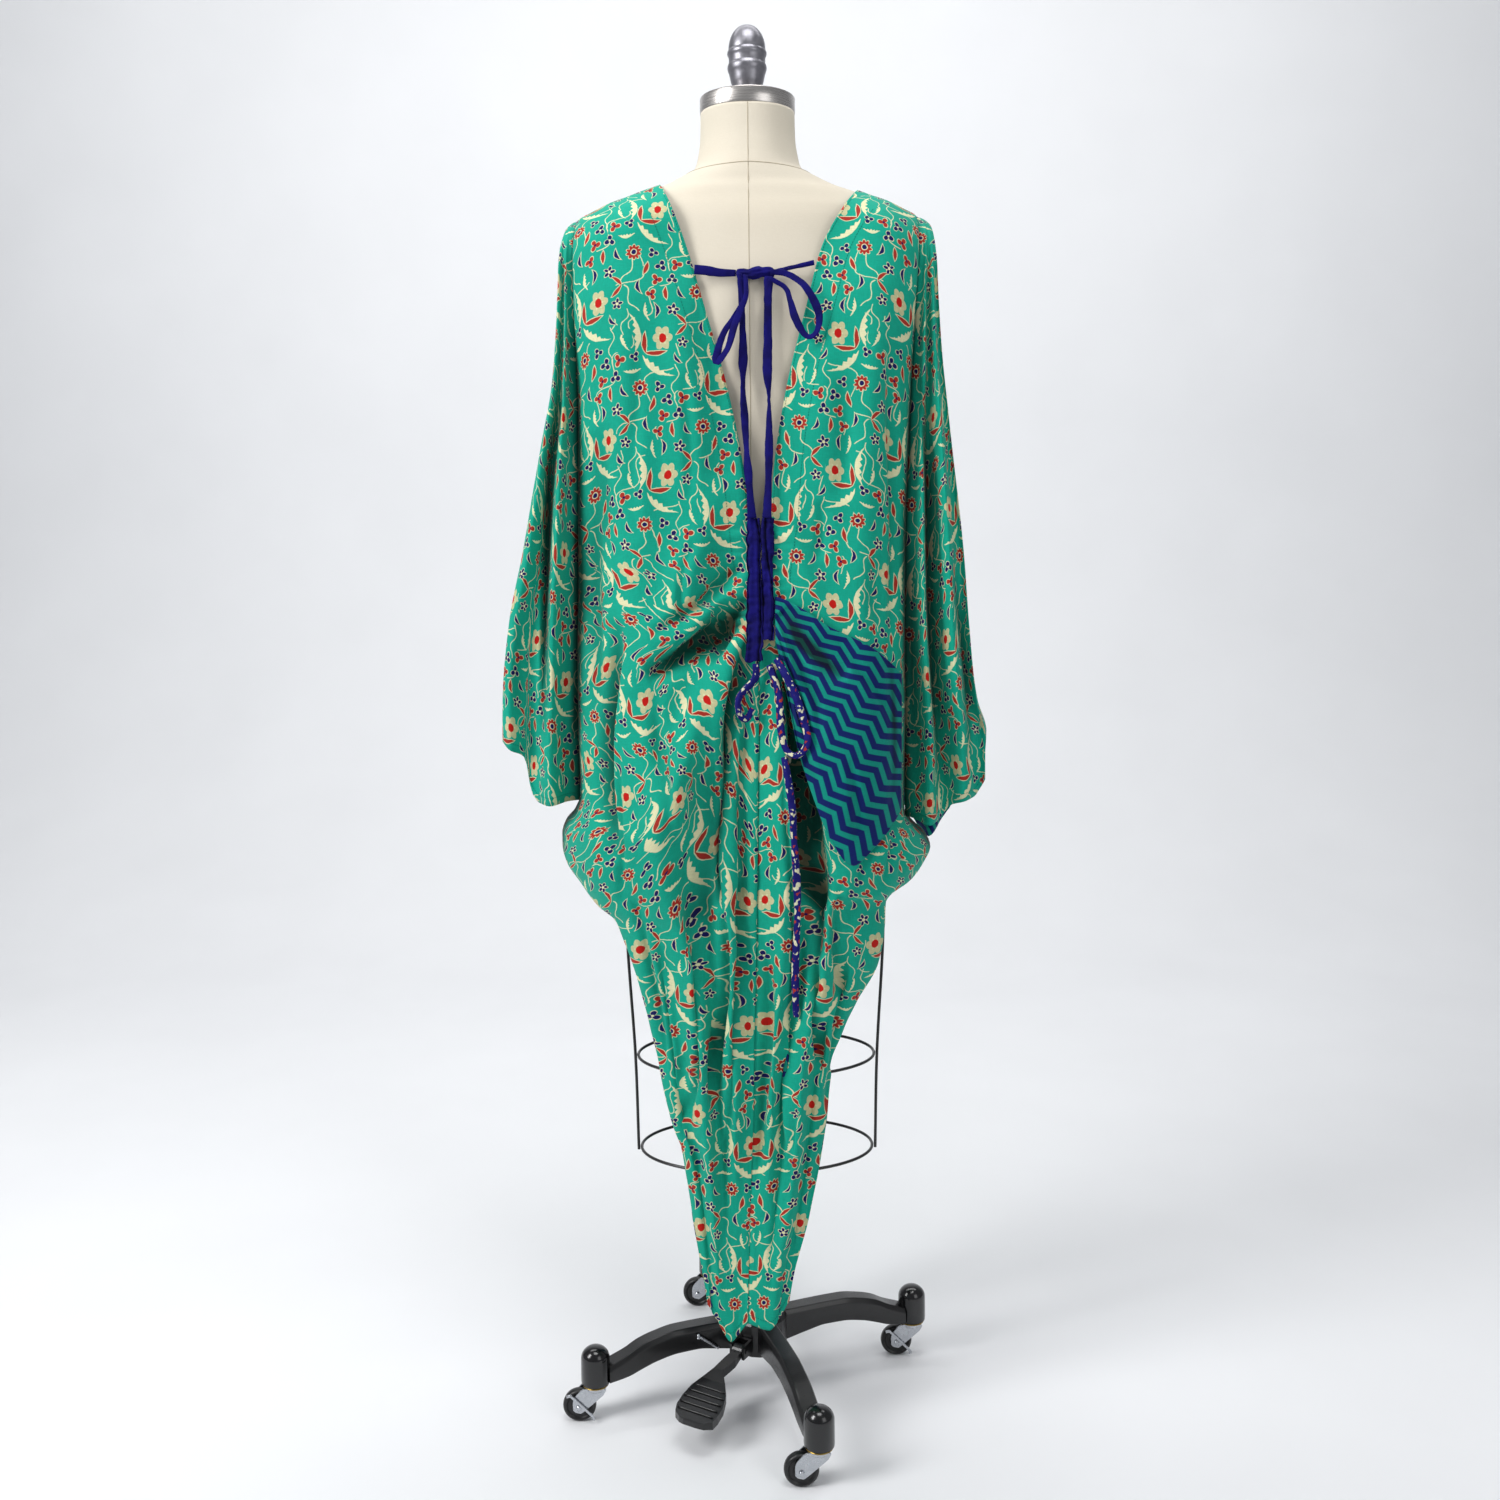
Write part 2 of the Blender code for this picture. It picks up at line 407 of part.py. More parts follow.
def curve_through(keys, values):
    # Smooth line through the given values that never overshoots them.
    x = np.array(keys, dtype=float)
    y = np.array(values, dtype=float)
    if x[0] > x[-1]:
        x = x[::-1]
        y = y[::-1]
    step = np.diff(x)
    slope = np.diff(y) / step
    tangent = np.zeros(len(x))
    tangent[0] = slope[0]
    tangent[-1] = slope[-1]
    for i in range(1, len(x) - 1):
        if slope[i - 1] * slope[i] > 0:
            before = 2 * step[i] + step[i - 1]
            after = step[i] + 2 * step[i - 1]
            tangent[i] = (before + after) / (before / slope[i - 1] + after / slope[i])

    def value(key):
        key = min(max(key, x[0]), x[-1])
        i = min(int(np.searchsorted(x, key, side="right")) - 1, len(step) - 1)
        s = (key - x[i]) / step[i]
        start = (1 + 2 * s) * (1 - s) ** 2 * y[i] + s * s * (3 - 2 * s) * y[i + 1]
        bend = s * (1 - s) ** 2 * tangent[i] - s * s * (1 - s) * tangent[i + 1]
        return float(start + bend * step[i])

    return value


def columns_of(table):
    keys = [row[0] for row in table]
    return [curve_through(keys, [row[c] for row in table]) for c in range(1, len(table[0]))]


def form_section(z):
    heights = [row[0] for row in FORM][::-1]
    return [float(np.interp(z, heights, [row[c] for row in FORM][::-1])) for c in (1, 2, 3)]


def ridge(x):
    # Height of the form's shoulder line at x.
    widths = [row[1] for row in FORM[:11]]
    heights = [row[0] for row in FORM[:11]]
    return float(np.interp(abs(x), widths, heights))


def form_reach(x, z, side):
    # Depth of the form's surface behind (side -1) or before (side 1) the point x, z.
    half, back, front = form_section(z)
    share = abs(x) / half
    if share >= 1.0 or z > FORM[0][0]:
        return 0.0
    return (back if side < 0 else front) * (1.0 - share ** FORM_ROUND) ** (1.0 / FORM_ROUND)


def form_clear(x, z, side):
    # Least depth at which the middle of the cloth clears the form.
    reach = 0.0
    for step in range(8):
        turn = math.pi * step / 4
        reach = max(reach, form_reach(x + CLEAR * math.cos(turn), z + CLEAR * math.sin(turn), side))
    return reach + CLEAR if reach > 0 else SEAM


def shoulder(x):
    # Height of the kaftan's shoulder seam at x.
    return max(shoulder_line(abs(x)), ridge(x) + SEAT)


def roll(drop):
    # The shoulder's quarter round: 0 at the seam, 1 below it.
    share = min(max(drop / SHOULDER_ROLL, 0.0), 1.0)
    return math.sqrt(1.0 - (1.0 - share) ** 2)


def fold_sum(folds, u, z):
    total = 0.0
    for top, bottom, u_top, u_bottom, width, depth in folds:
        if bottom < z < top:
            share = (top - z) / (top - bottom)
            middle = u_top + (u_bottom - u_top) * share
            total += depth * math.sin(math.pi * share) ** 0.6 * math.exp(-((u - middle) / width) ** 2)
    return total


def grid(rows):
    wide = len(rows[0])
    points = [point for row in rows for point in row]
    faces = []
    for r in range(len(rows) - 1):
        for c in range(wide - 1):
            a = r * wide + c
            faces.append((a, a + 1, a + 1 + wide, a + wide))
    return points, faces


def sheet(name, rows, finish, wall=CLOTH):
    # Open surface through rows of points, given its wall by Solidify.
    points, faces = grid(rows)
    data = bpy.data.meshes.new(name)
    data.from_pydata(points, [], faces)
    data.shade_smooth()
    item = add_object(name, data, finish)
    solid = item.modifiers.new("wall", "SOLIDIFY")
    solid.thickness = wall
    solid.offset = 0.0
    solid.use_quality_normals = True
    return item


def hem_height(hem, u):
    return curve_through([row[0] for row in hem], [row[1] for row in hem])(u)


class BackPanel:
    # One half of the back: u runs from the centre to the outer edge.
    def __init__(self, table, folds, hem):
        self.x_out, self.y_out, self.x_in, self.y_in, self.crown = columns_of(table)
        self.folds = folds
        self.hem = hem

    def x(self, u, z):
        return self.x_in(z) + (self.x_out(z) - self.x_in(z)) * u

    def depth(self, u, z):
        if u < 0.45:
            share = u / 0.45
            blend = share * share * (3 - 2 * share)
            y = self.y_in(z) + (self.crown(z) - self.y_in(z)) * blend
        else:
            share = (u - 0.45) / 0.55
            y = self.y_out(z) + (self.crown(z) - self.y_out(z)) * (1.0 - share ** 2.2) ** 0.6
        x = self.x(u, z)
        y -= fold_sum(self.folds, u, z) * min(1.0, (1.0 - u) * 8)
        y *= roll(shoulder(x) - z)
        return min(y, -form_clear(x, z, -1))

    def at(self, x, z):
        # Depth of the panel's middle surface at x, z below the shoulder, or at its edge beside x.
        for _ in range(2):
            hit = self.surface.ray_cast(Vector((x, -1.0, z)), Vector((0.0, 1.0, 0.0)))[0]
            if hit:
                return hit.y
            edges = sorted((self.x_in(z), self.x_out(z)))
            x = min(max(x, edges[0] + 0.001), edges[1] - 0.001)
        return self.y_in(z)

    def rows(self):
        rows = []
        for drop, level, share in ROWS:
            row = []
            for c in range(BACK_COLUMNS + 1):
                u = c / BACK_COLUMNS
                z = level
                for _ in range(6):
                    z = (shoulder(self.x(u, z)) - drop) * (1 - share) + level * share
                row.append((self.x(u, z), self.depth(u, z), z))
            rows.append(row)
        for level in BACK_LEVELS:
            row = []
            low = max(0.0, (0.420 - level) / 0.420)
            for c in range(BACK_COLUMNS + 1):
                u = c / BACK_COLUMNS
                z = level + (hem_height(self.hem, u) - HEM_MIDDLE) * low * 1.2
                row.append((self.x(u, z), self.depth(u, z), z))
            rows.append(row)
        last = []
        for c in range(BACK_COLUMNS + 1):
            u = c / BACK_COLUMNS
            z = hem_height(self.hem, u)
            last.append((self.x(u, z), self.depth(u, z), z))
        rows.append(last)
        self.surface = BVHTree.FromPolygons(*grid(rows))
        return rows


def front_rows():
    x_left, y_left, x_right, y_right, crown = columns_of(FRONT)

    def point(u, z):
        x = x_left(z) + (x_right(z) - x_left(z)) * (u + 1) / 2
        edge = y_left(z) if u < 0 else y_right(z)
        y = edge + (crown(z) - edge) * math.sqrt(1.0 - abs(u) ** 2.4)
        y += fold_sum(FOLDS_FRONT, u, z) * min(1.0, (1.0 - abs(u)) * 8)
        y *= roll(shoulder(x) - z)
        if z > ARMPIT or (z > FORM[-1][0] - 2 * CLEAR and abs(u) < 0.99):
            y = max(y, form_clear(x, z, 1))
        return (x, y, z)

    def neckline(x):
        # Height of the top edge: the shoulder seam, or the curve between its two neck points.
        share = (x - NECK_LEFT_X) / (NECK_RIGHT_X - NECK_LEFT_X)
        if not 0 < share < 1:
            return shoulder(x)
        straight = shoulder(NECK_LEFT_X) * (1 - share) + shoulder(NECK_RIGHT_X) * share
        return straight - NECK_FRONT * (4 * share * (1 - share)) ** 1.2

    rows = []
    for drop, level, share in ROWS:
        row = []
        for u in FRONT_SHARES:
            z = level
            for _ in range(8):
                z = (neckline(point(u, z)[0]) - drop) * (1 - share) + level * share
            row.append(point(u, z))
        rows.append(row)
    for level in FRONT_LEVELS:
        low = max(0.0, (0.460 - level) / 0.460)
        rows.append([point(u, level + (hem_height(HEM_FRONT, u) - HEM_MIDDLE) * low * 1.2) for u in FRONT_SHARES])
    rows.append([point(u, hem_height(HEM_FRONT, u)) for u in FRONT_SHARES])
    return rows


def sleeve_rows(table, cuff, pleats):
    # A pleated tube, open at the cuff and towards the body.
    x_groove, x_outer, y_back, y_front, half, pleat = columns_of(table)
    shares = [row[0] for row in cuff]
    cuff_back = curve_through(shares, [row[1] for row in cuff])
    cuff_front = curve_through(shares, [row[2] for row in cuff])

    def section(share, side, z):
        # share runs from the groove beside the body to the outer fold; side is -1 at the back.
        swell = math.sin(math.pi * min(share / 0.30, 1.0) / 2)
        close = (1.0 - share ** 2.6) ** 0.5
        wave = sum(math.exp(-((share - middle) / width) ** 2) for middle, width in pleats)
        body = y_back(z) if side < 0 else -y_front(z)
        y = body + (-half(z) - body) * swell * close + pleat(z) * (1.0 - wave) * swell * close
        y *= close if share > 0.9 else 1.0
        return -side * y

    rows = []
    top = table[0][0]
    for r in range(SLEEVE_ROWS + 1):
        v = (r / SLEEVE_ROWS) ** 1.5
        row = []
        for c in range(-SLEEVE_COLUMNS, SLEEVE_COLUMNS + 1):
            share = 1.0 - (abs(c) / SLEEVE_COLUMNS)
            side = -1 if c < 0 else 1
            z_low = cuff_back(share) if c < 0 else cuff_front(share)
            z = top
            for _ in range(6):
                x = x_groove(z) + (x_outer(z) - x_groove(z)) * share
                z_top = shoulder(x)
                z = z_top + (z_low - z_top) * v
            x = x_groove(z) + (x_outer(z) - x_groove(z)) * share
            y = section(share, side, z) * roll(z_top - z)
            if c != 0:
                y = side * max(abs(y), SLEEVE_SEAM, form_clear(x, z, side))
            row.append((x, y, z))
        rows.append(row)
    return rows


def swag_rows(panel):
    x_at, top_at, low_at = columns_of(SWAG)
    rows = []
    for r in range(SWAG_ROWS + 1):
        v = r / SWAG_ROWS
        row = []
        for c in range(SWAG_COLUMNS + 1):
            u = c / SWAG_COLUMNS
            x = x_at(u)
            z = top_at(u) + (low_at(u) - top_at(u)) * v
            lift = SWAG_LIFT + 0.0070 * math.sin(math.pi * v) ** 0.7 * math.sin(math.pi * min(u * 1.1, 1.0)) ** 0.6
            lift += 0.0030 * math.cos(v * 7.5 * math.pi) * math.exp(-(u / 0.45) ** 2) * min(1.0, u * 8)
            slack = min(panel.at(x, z), panel.at(x + 0.006, z), panel.at(x - 0.006, z))
            row.append((x, slack - lift, z))
        rows.append(row)
    return rows


def casing_rows(x_top, x_low, z_top, z_low, half, gathers):
    steps = gathers * 3
    rows = []
    for r in range(steps + 1):
        v = r / steps
        z = z_top + (z_low - z_top) * v
        middle = x_top + (x_low - x_top) * v
        bump = CASING_RIPPLE * math.cos(2 * math.pi * gathers * v)
        near = 0.0
        for step in range(7):
            x = middle + (half + 0.004) * (step / 3 - 1)
            near = min(near, left_back.at(x, z), right_back.at(x, z))
        row = []
        for c in range(3):
            side = c - 1
            row.append((middle + half * side, near - CASING_LIFT - bump * (1 - 0.4 * side * side), z))
        rows.append(row)
    return rows


def through(points, spacing):
    # Points at an even spacing along a smooth curve through the route's own points.
    knots = [Vector(p) for p in points]
    ends = [knots[0] * 2 - knots[1]] + knots + [knots[-1] * 2 - knots[-2]]
    fine = []
    for i in range(len(knots) - 1):
        p0, p1, p2, p3 = ends[i:i + 4]
        for s in range(24):
            t = s / 24
            fine.append(0.5 * (2 * p1 + (p2 - p0) * t + (2 * p0 - 5 * p1 + 4 * p2 - p3) * t * t
                               + (3 * p1 - p0 - 3 * p2 + p3) * t ** 3))
    fine.append(knots[-1])
    length = [0.0]
    for a, b in zip(fine, fine[1:]):
        length.append(length[-1] + (b - a).length)
    count = max(2, round(length[-1] / spacing))
    result = []
    for i in range(count + 1):
        at = length[-1] * i / count
        result.append(tuple(float(np.interp(at, length, [p[k] for p in fine])) for k in range(3)))
    return result


def tube(name, points, radius, finish, resolution=2, cyclic=False):
    data = bpy.data.curves.new(name, "CURVE")
    data.dimensions = "3D"
    spline = data.splines.new("POLY")
    spline.points.add(len(points) - 1)
    for slot, point in zip(spline.points, points):
        slot.co = (*point, 1.0)
    spline.use_cyclic_u = cyclic
    data.bevel_depth = radius
    data.bevel_resolution = resolution
    data.use_fill_caps = not cyclic
    return add_object(name, data, finish)


def turned(name, profile, finish, steps=24, spot=(0, 0, 0)):
    # profile runs down the outer side, from the top to the bottom.
    data = bpy.data.meshes.new(name)
    data.from_pydata([(radius, 0, z) for radius, z in profile], [(i, i + 1) for i in range(len(profile) - 1)], [])
    item = add_object(name, data, finish)
    item.location = spot
    screw = item.modifiers.new("turn", "SCREW")
    screw.steps = steps
    screw.render_steps = steps
    screw.use_merge_vertices = True
    screw.merge_threshold = 0.00001
    screw.use_smooth_shade = True
    return item


def prism_into(shape, outline, low, high, flat):
    # Straight solid with the given outline, between low and high along the flat axis.
    rings = []
    for level in (low, high):
        rings.append([shape.verts.new((a, level, b) if flat == "Y" else (a, b, level)) for a, b in outline])
    near, far = rings
    faces = [shape.faces.new(near), shape.faces.new(far[::-1])]
    for i in range(len(outline)):
        j = (i + 1) % len(outline)
        faces.append(shape.faces.new((near[j], near[i], far[i], far[j])))
    bmesh.ops.recalc_face_normals(shape, faces=faces)


def solid_mesh(name, build):
    data = bpy.data.meshes.new(name)
    shape = bmesh.new()
    build(shape)
    shape.to_mesh(data)
    shape.free()
    return data


def form_object(finish):
    rows = []
    for z, half, back, front in FORM:
        row = []
        for c in range(FORM_COLUMNS):
            angle = 2 * math.pi * c / FORM_COLUMNS
            along = math.cos(angle)
            across = math.sin(angle)
            x = half * math.copysign(abs(along) ** (2 / FORM_ROUND), along)
            y = (front if across > 0 else back) * math.copysign(abs(across) ** (2 / FORM_ROUND), across)
            row.append((x, y, z))
        rows.append(row)
    points = [point for row in rows for point in row]
    faces = []
    for r in range(len(rows) - 1):
        for c in range(FORM_COLUMNS):
            a = r * FORM_COLUMNS + c
            b = r * FORM_COLUMNS + (c + 1) % FORM_COLUMNS
            faces.append((a, a + FORM_COLUMNS, b + FORM_COLUMNS, b))
    faces.append(tuple(range(FORM_COLUMNS)))
    last = (len(rows) - 1) * FORM_COLUMNS
    faces.append(tuple(last + FORM_COLUMNS - 1 - c for c in range(FORM_COLUMNS)))
    data = bpy.data.meshes.new("torso")
    data.from_pydata(points, [], faces)
    data.shade_smooth()
    return add_object("torso", data, finish)


def ellipse(height, half_width, half_depth, count):
    return [(half_width * math.cos(2 * math.pi * i / count), half_depth * math.sin(2 * math.pi * i / count), height)
            for i in range(count)]


def cage_wire(index, angle, finish):
    turn = math.radians(angle)
    clear = 2 * WIRE + GAP
    points = []
    for height, half_width, half_depth in (
            (FORM[-1][0] - GAP, CAGE_TOP_HALF_WIDTH, CAGE_TOP_HALF_DEPTH),
            (0.5800, 0.1495 + clear, 0.0905 + clear),
            (RING_HIGH[0], RING_HIGH[1] + clear, RING_HIGH[2] + clear),
            (RING_LOW[0] - 0.004, RING_LOW[1] + clear, RING_LOW[2] + clear)):
        points.append((half_width * math.cos(turn), half_depth * math.sin(turn), height))
    return tube("cage_wire_%d" % (index + 1), points, WIRE, finish, resolution=1)


def arm_object(name, angle, finish):
    outline = [(reach, high) for reach, high, _ in ARM] + [(reach, low) for reach, _, low in reversed(ARM)]
    data = solid_mesh(name, lambda shape: prism_into(shape, outline, -ARM_HALF_WIDTH, ARM_HALF_WIDTH, "Y"))
    item = add_object(name, data, finish)
    item.location = (*AXIS, 0)
    item.rotation_euler = (0, 0, math.radians(angle))
    soft = item.modifiers.new("edges", "BEVEL")
    soft.width = 0.0035
    soft.segments = 1
    soft.limit_method = "ANGLE"
    soft.angle_limit = math.radians(50)


def rod_into(shape, radius, low, high, sides, axis="Z"):
    made = bmesh.ops.create_cone(shape, cap_ends=True, segments=sides, radius1=radius, radius2=radius,
                                 depth=high - low)["verts"]
    middle = (high + low) / 2
    for corner in made:
        x, y, z = corner.co
        corner.co = (x, y, z + middle) if axis == "Z" else (x, z + middle, -y)


def cutter(name, build, spot, turn=0.0):
    item = bpy.data.objects.new(name, solid_mesh(name, build))
    cutters.objects.link(item)
    item.parent = origin
    item.location = spot
    item.rotation_euler = (0, 0, turn)
    item.hide_render = True
    item.display_type = "WIRE"
    return item


def boolean(item, other, operation):
    step = item.modifiers.new(operation.lower(), "BOOLEAN")
    step.operation = operation
    step.object = other
    step.solver = "EXACT"


def cheeks_into(shape):
    prism_into(shape, CHEEK, CHEEK_IN, CHEEK_OUT, "Y")
    prism_into(shape, CHEEK, -CHEEK_OUT, -CHEEK_IN, "Y")


def castor(name, angle):
    turn = math.radians(angle)
    spot = Vector((AXIS[0] + CASTOR_REACH * math.cos(turn), AXIS[1] + CASTOR_REACH * math.sin(turn), 0))
    dome = [(0.0, CAP_HIGH)]
    for i in range(1, 5):
        bend = math.radians(22.5 * i)
        dome.append((CAP_RADIUS * math.sin(bend), CAP_HIGH - CAP_DOME * (1 - math.cos(bend))))
    turned("castor_cap_" + name, dome + [(CAP_RADIUS, CAP_LOW), (0.0, CAP_LOW)], black, 16, spot)
    fork = add_object("castor_fork_" + name, solid_mesh("cheeks", cheeks_into), zinc)
    fork.location = spot
    axle_spot = spot + Vector((-WHEEL_TRAIL, 0, WHEEL_RADIUS))
    boolean(fork, cutter("crown_" + name, crown_into, spot), "UNION")
    boolean(fork, cutter("axle_" + name, axle_into, axle_spot), "UNION")
    wheel_object("castor_wheel_" + name, axle_spot)
    return spot


def crown_into(shape):
    rod_into(shape, CROWN_RADIUS, CROWN_LOW, CAP_LOW - GAP, 14)


def axle_into(shape):
    rod_into(shape, AXLE, -CHEEK_OUT - LAP, CHEEK_OUT + LAP, 10, "Y")


def wheel_object(name, spot):
    # Turned about Y, with a facet flat on the floor; its outer radius is to the middle of a facet.
    rim = WHEEL_RADIUS / math.cos(math.pi / WHEEL_SIDES)
    profile = ((AXLE_BORE, WHEEL_HALF), (rim - WHEEL_EDGE, WHEEL_HALF), (rim, WHEEL_HALF - WHEEL_EDGE),
               (rim, WHEEL_EDGE - WHEEL_HALF), (rim - WHEEL_EDGE, -WHEEL_HALF), (AXLE_BORE, -WHEEL_HALF),
               (AXLE_BORE, WHEEL_HALF))
    item = turned(name, profile, rubber, WHEEL_SIDES, spot)
    item.rotation_euler = (math.radians(90), 0, 0)
    item.rotation_euler.rotate_axis("Z", math.pi / WHEEL_SIDES)


def brake_lever(name, spot):
    front = -CHEEK_OUT - GAP - LAP
    data = solid_mesh(name, lambda shape: prism_into(shape, BRAKE, front - BRAKE_THICK, front, "Y"))
    item = add_object("brake_lever_" + name, data, zinc)
    item.location = spot


def pedal_into(shape):
    rings = []
    for out, left, right, top, low in PEDAL:
        rings.append([shape.verts.new(corner) for corner in
                      ((out, left, low), (out, right, low), (out, right, top), (out, left, top))])
    faces = [shape.faces.new(rings[0]), shape.faces.new(rings[-1][::-1])]
    for near, far in zip(rings, rings[1:]):
        for i in range(4):
            j = (i + 1) % 4
            faces.append(shape.faces.new((near[j], near[i], far[i], far[j])))
    bmesh.ops.recalc_face_normals(shape, faces=faces)


def pedal_parts():
    turn = math.radians(PEDAL_ANGLE)
    spot = (AXIS[0] + PEDAL_REACH * math.cos(turn), AXIS[1] + PEDAL_REACH * math.sin(turn), PEDAL_HEIGHT)
    pedal = add_object("pedal", solid_mesh("pedal", pedal_into), black)
    bracket = add_object("pedal_bracket", solid_mesh("pedal_bracket", lambda shape: (
        prism_into(shape, BRACKET, BRACKET_LOW, BRACKET_HIGH, "Z"))), black)
    for item in (pedal, bracket):
        item.location = spot
        item.rotation_euler = (0, 0, turn)
    boss = cutter("boss", lambda shape: rod_into(shape, PIVOT_RADIUS, -PIVOT_HALF, PIVOT_HALF, 16, "Y"), spot, turn)
    bore = cutter("bore", lambda shape: rod_into(shape, AXLE_BORE, -EAR_OUT, EAR_OUT, 12, "Y"), spot, turn)
    pin = cutter("pin", lambda shape: rod_into(shape, AXLE, -EAR_OUT - 0.0010, EAR_OUT + 0.0010, 12, "Y"), spot, turn)
    boolean(pedal, boss, "UNION")
    boolean(pedal, bore, "DIFFERENCE")
    boolean(bracket, pin, "UNION")


def piping(name, side, table):
    # Along the shoulder seam and down the sleeve's outer fold.
    x_outer = columns_of(table)[1]
    points = []
    for x in (0.1320, 0.1500, 0.1680, 0.1830, 0.1930):
        points.append((side * x, PIPING_DEPTH, shoulder(x) + PIPING_LIFT))
    points.append((side * 0.2043, PIPING_DEPTH, 1.4005))
    for z in (1.3700, 1.3300, 1.2700, 1.2100, 1.1700):
        points.append((x_outer(z) + side * PIPING_LIFT, PIPING_DEPTH, z))
    tube(name, points, PIPING_RADIUS, navy, 1)


clear_scene()
part = new_collection("kaftan_on_form")
cutters = new_collection("cutters")
origin = bpy.data.objects.new("origin", None)
part.objects.link(origin)
origin.location = (FRAME_X, FRAME_Y, 0)

green = material("printed green cotton", 0.02, 0.38, 0.24, 0.8)
navy = material("navy cotton tape", 0.02, 0.03, 0.18, 0.8)
zigzag = material("zigzag cotton", 0.01, 0.20, 0.28, 0.8)
printed = material("printed cord", 0.04, 0.05, 0.16, 0.8)
linen = material("cream linen", 0.82, 0.78, 0.68, 0.9)
steel = material("brushed steel", 0.60, 0.60, 0.60, 0.3, 1.0)
grey = material("grey painted wood", 0.36, 0.36, 0.37, 0.4)
black = material("black cast iron", 0.01, 0.01, 0.01, 0.4)
zinc = material("zinc plate", 0.60, 0.62, 0.65, 0.3, 1.0)
rubber = material("black rubber", 0.01, 0.01, 0.01, 0.6)

shoulder_line = curve_through([row[0] for row in SHOULDER], [row[1] for row in SHOULDER])

# Form and its neck
form_object(linen)
turned("neck_plate", ((0.0, PLATE_HIGH), (PLATE_RADIUS - 0.0010, PLATE_HIGH), (PLATE_RADIUS, PLATE_HIGH - 0.0010),
                      (PLATE_RADIUS, PLATE_LOW + 0.0010), (PLATE_RADIUS - 0.0010, PLATE_LOW), (0.0, PLATE_LOW)),
       steel, 32)
turned("knob", [(radius, KNOB_BASE + height) for height, radius in reversed(KNOB)] + [(0.0, KNOB_BASE)], grey, 14)

# Cage
tube("cage_ring_high", ellipse(*RING_HIGH, 30), WIRE, black, 1, True)
tube("cage_ring_low", ellipse(*RING_LOW, 30), WIRE, black, 1, True)
for index, angle in enumerate(CAGE_ANGLES):
    cage_wire(index, angle, black)

# Pole, outer tube and hub
pole_top = FORM[-1][0] - GAP
turned("pole", ((0.0, pole_top), (0.0300, pole_top), (0.0300, pole_top - 0.0040), (POLE_RADIUS, pole_top - 0.0060),
                (POLE_RADIUS, POLE_LOW), (0.0, POLE_LOW)), black, 20, (*AXIS, 0))
turned("hub", ((TUBE_BORE, TUBE_TOP), (TUBE_RADIUS, TUBE_TOP), (TUBE_RADIUS, HUB_TOP + 0.0140),
               (HUB_RADIUS - 0.0040, HUB_TOP), (HUB_RADIUS, HUB_TOP - 0.0060), (HUB_RADIUS, HUB_LOW), (0.0, HUB_LOW),
               (0.0, TUBE_FOOT - 0.0030), (TUBE_BORE, TUBE_FOOT - 0.0030), (TUBE_BORE, TUBE_TOP)),
       black, 20, (*AXIS, 0))

# Arms, castors and pedal
for name, angle in ARM_ANGLES.items():
    arm_object("arm_" + name, angle, black)
    stem = castor(name, angle)
    if name in ("left", "right"):
        brake_lever(name, stem)
pedal_parts()
tube("release_lever", RELEASE_ROD, RELEASE_RADIUS, zinc, 1)

# Kaftan
left_back = BackPanel(BACK_LEFT, FOLDS_LEFT, HEM_LEFT)
right_back = BackPanel(BACK_RIGHT, FOLDS_RIGHT, HEM_RIGHT)
sheet("back_left", left_back.rows(), green)
sheet("back_right", right_back.rows(), green)
sheet("front", front_rows(), green)
sheet("sleeve_left", sleeve_rows(SLEEVE_LEFT, CUFF_LEFT, PLEATS_LEFT), green)
sheet("sleeve_right", sleeve_rows(SLEEVE_RIGHT, CUFF_RIGHT, PLEATS_RIGHT), green)
sheet("swag_reverse", swag_rows(right_back), zigzag)
for name, x_top, x_low, z_top, z_low, half, gathers in CASINGS:
    sheet(name, casing_rows(x_top, x_low, z_top, z_low, half, gathers), navy, CASING_WALL)
piping("piping_left", -1, SLEEVE_LEFT)
piping("piping_right", 1, SLEEVE_RIGHT)

# Ties and drawstring
knot = turned("tie_knot", [(radius, along) for radius, along in KNOT], navy, 10, KNOT_SPOT)
knot.rotation_euler = (0, math.radians(90), 0)
for name, radius, route in CORDS:
    tube(name, through(route, CORD_STEP * radius), radius, printed if name.startswith("cord") else navy)
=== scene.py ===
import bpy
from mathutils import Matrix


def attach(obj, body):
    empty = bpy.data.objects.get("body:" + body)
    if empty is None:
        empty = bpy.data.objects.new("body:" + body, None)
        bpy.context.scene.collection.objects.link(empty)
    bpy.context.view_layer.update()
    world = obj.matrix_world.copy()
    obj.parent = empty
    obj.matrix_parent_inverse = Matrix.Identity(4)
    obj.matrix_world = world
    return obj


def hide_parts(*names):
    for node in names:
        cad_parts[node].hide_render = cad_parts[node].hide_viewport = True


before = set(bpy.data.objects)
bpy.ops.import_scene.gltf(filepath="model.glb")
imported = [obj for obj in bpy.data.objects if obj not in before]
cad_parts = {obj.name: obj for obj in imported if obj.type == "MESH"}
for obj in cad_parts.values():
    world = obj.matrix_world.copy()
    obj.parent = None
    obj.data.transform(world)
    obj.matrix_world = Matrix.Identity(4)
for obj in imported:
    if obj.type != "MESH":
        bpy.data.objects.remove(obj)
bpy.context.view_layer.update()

import math
from functools import partial
import bpy
import numpy as np
from mathutils import Matrix, Vector

# Metres, +Z up. The kaftan's back with the tied V faces -Y. Tables are measured from the form's axis.
formAxis = np.array((0.0099, -0.0080, 0.0))
facingCamera = np.array((0.0, -1.0, 0.0))

bpy.context.scene.view_settings.view_transform = "Standard"

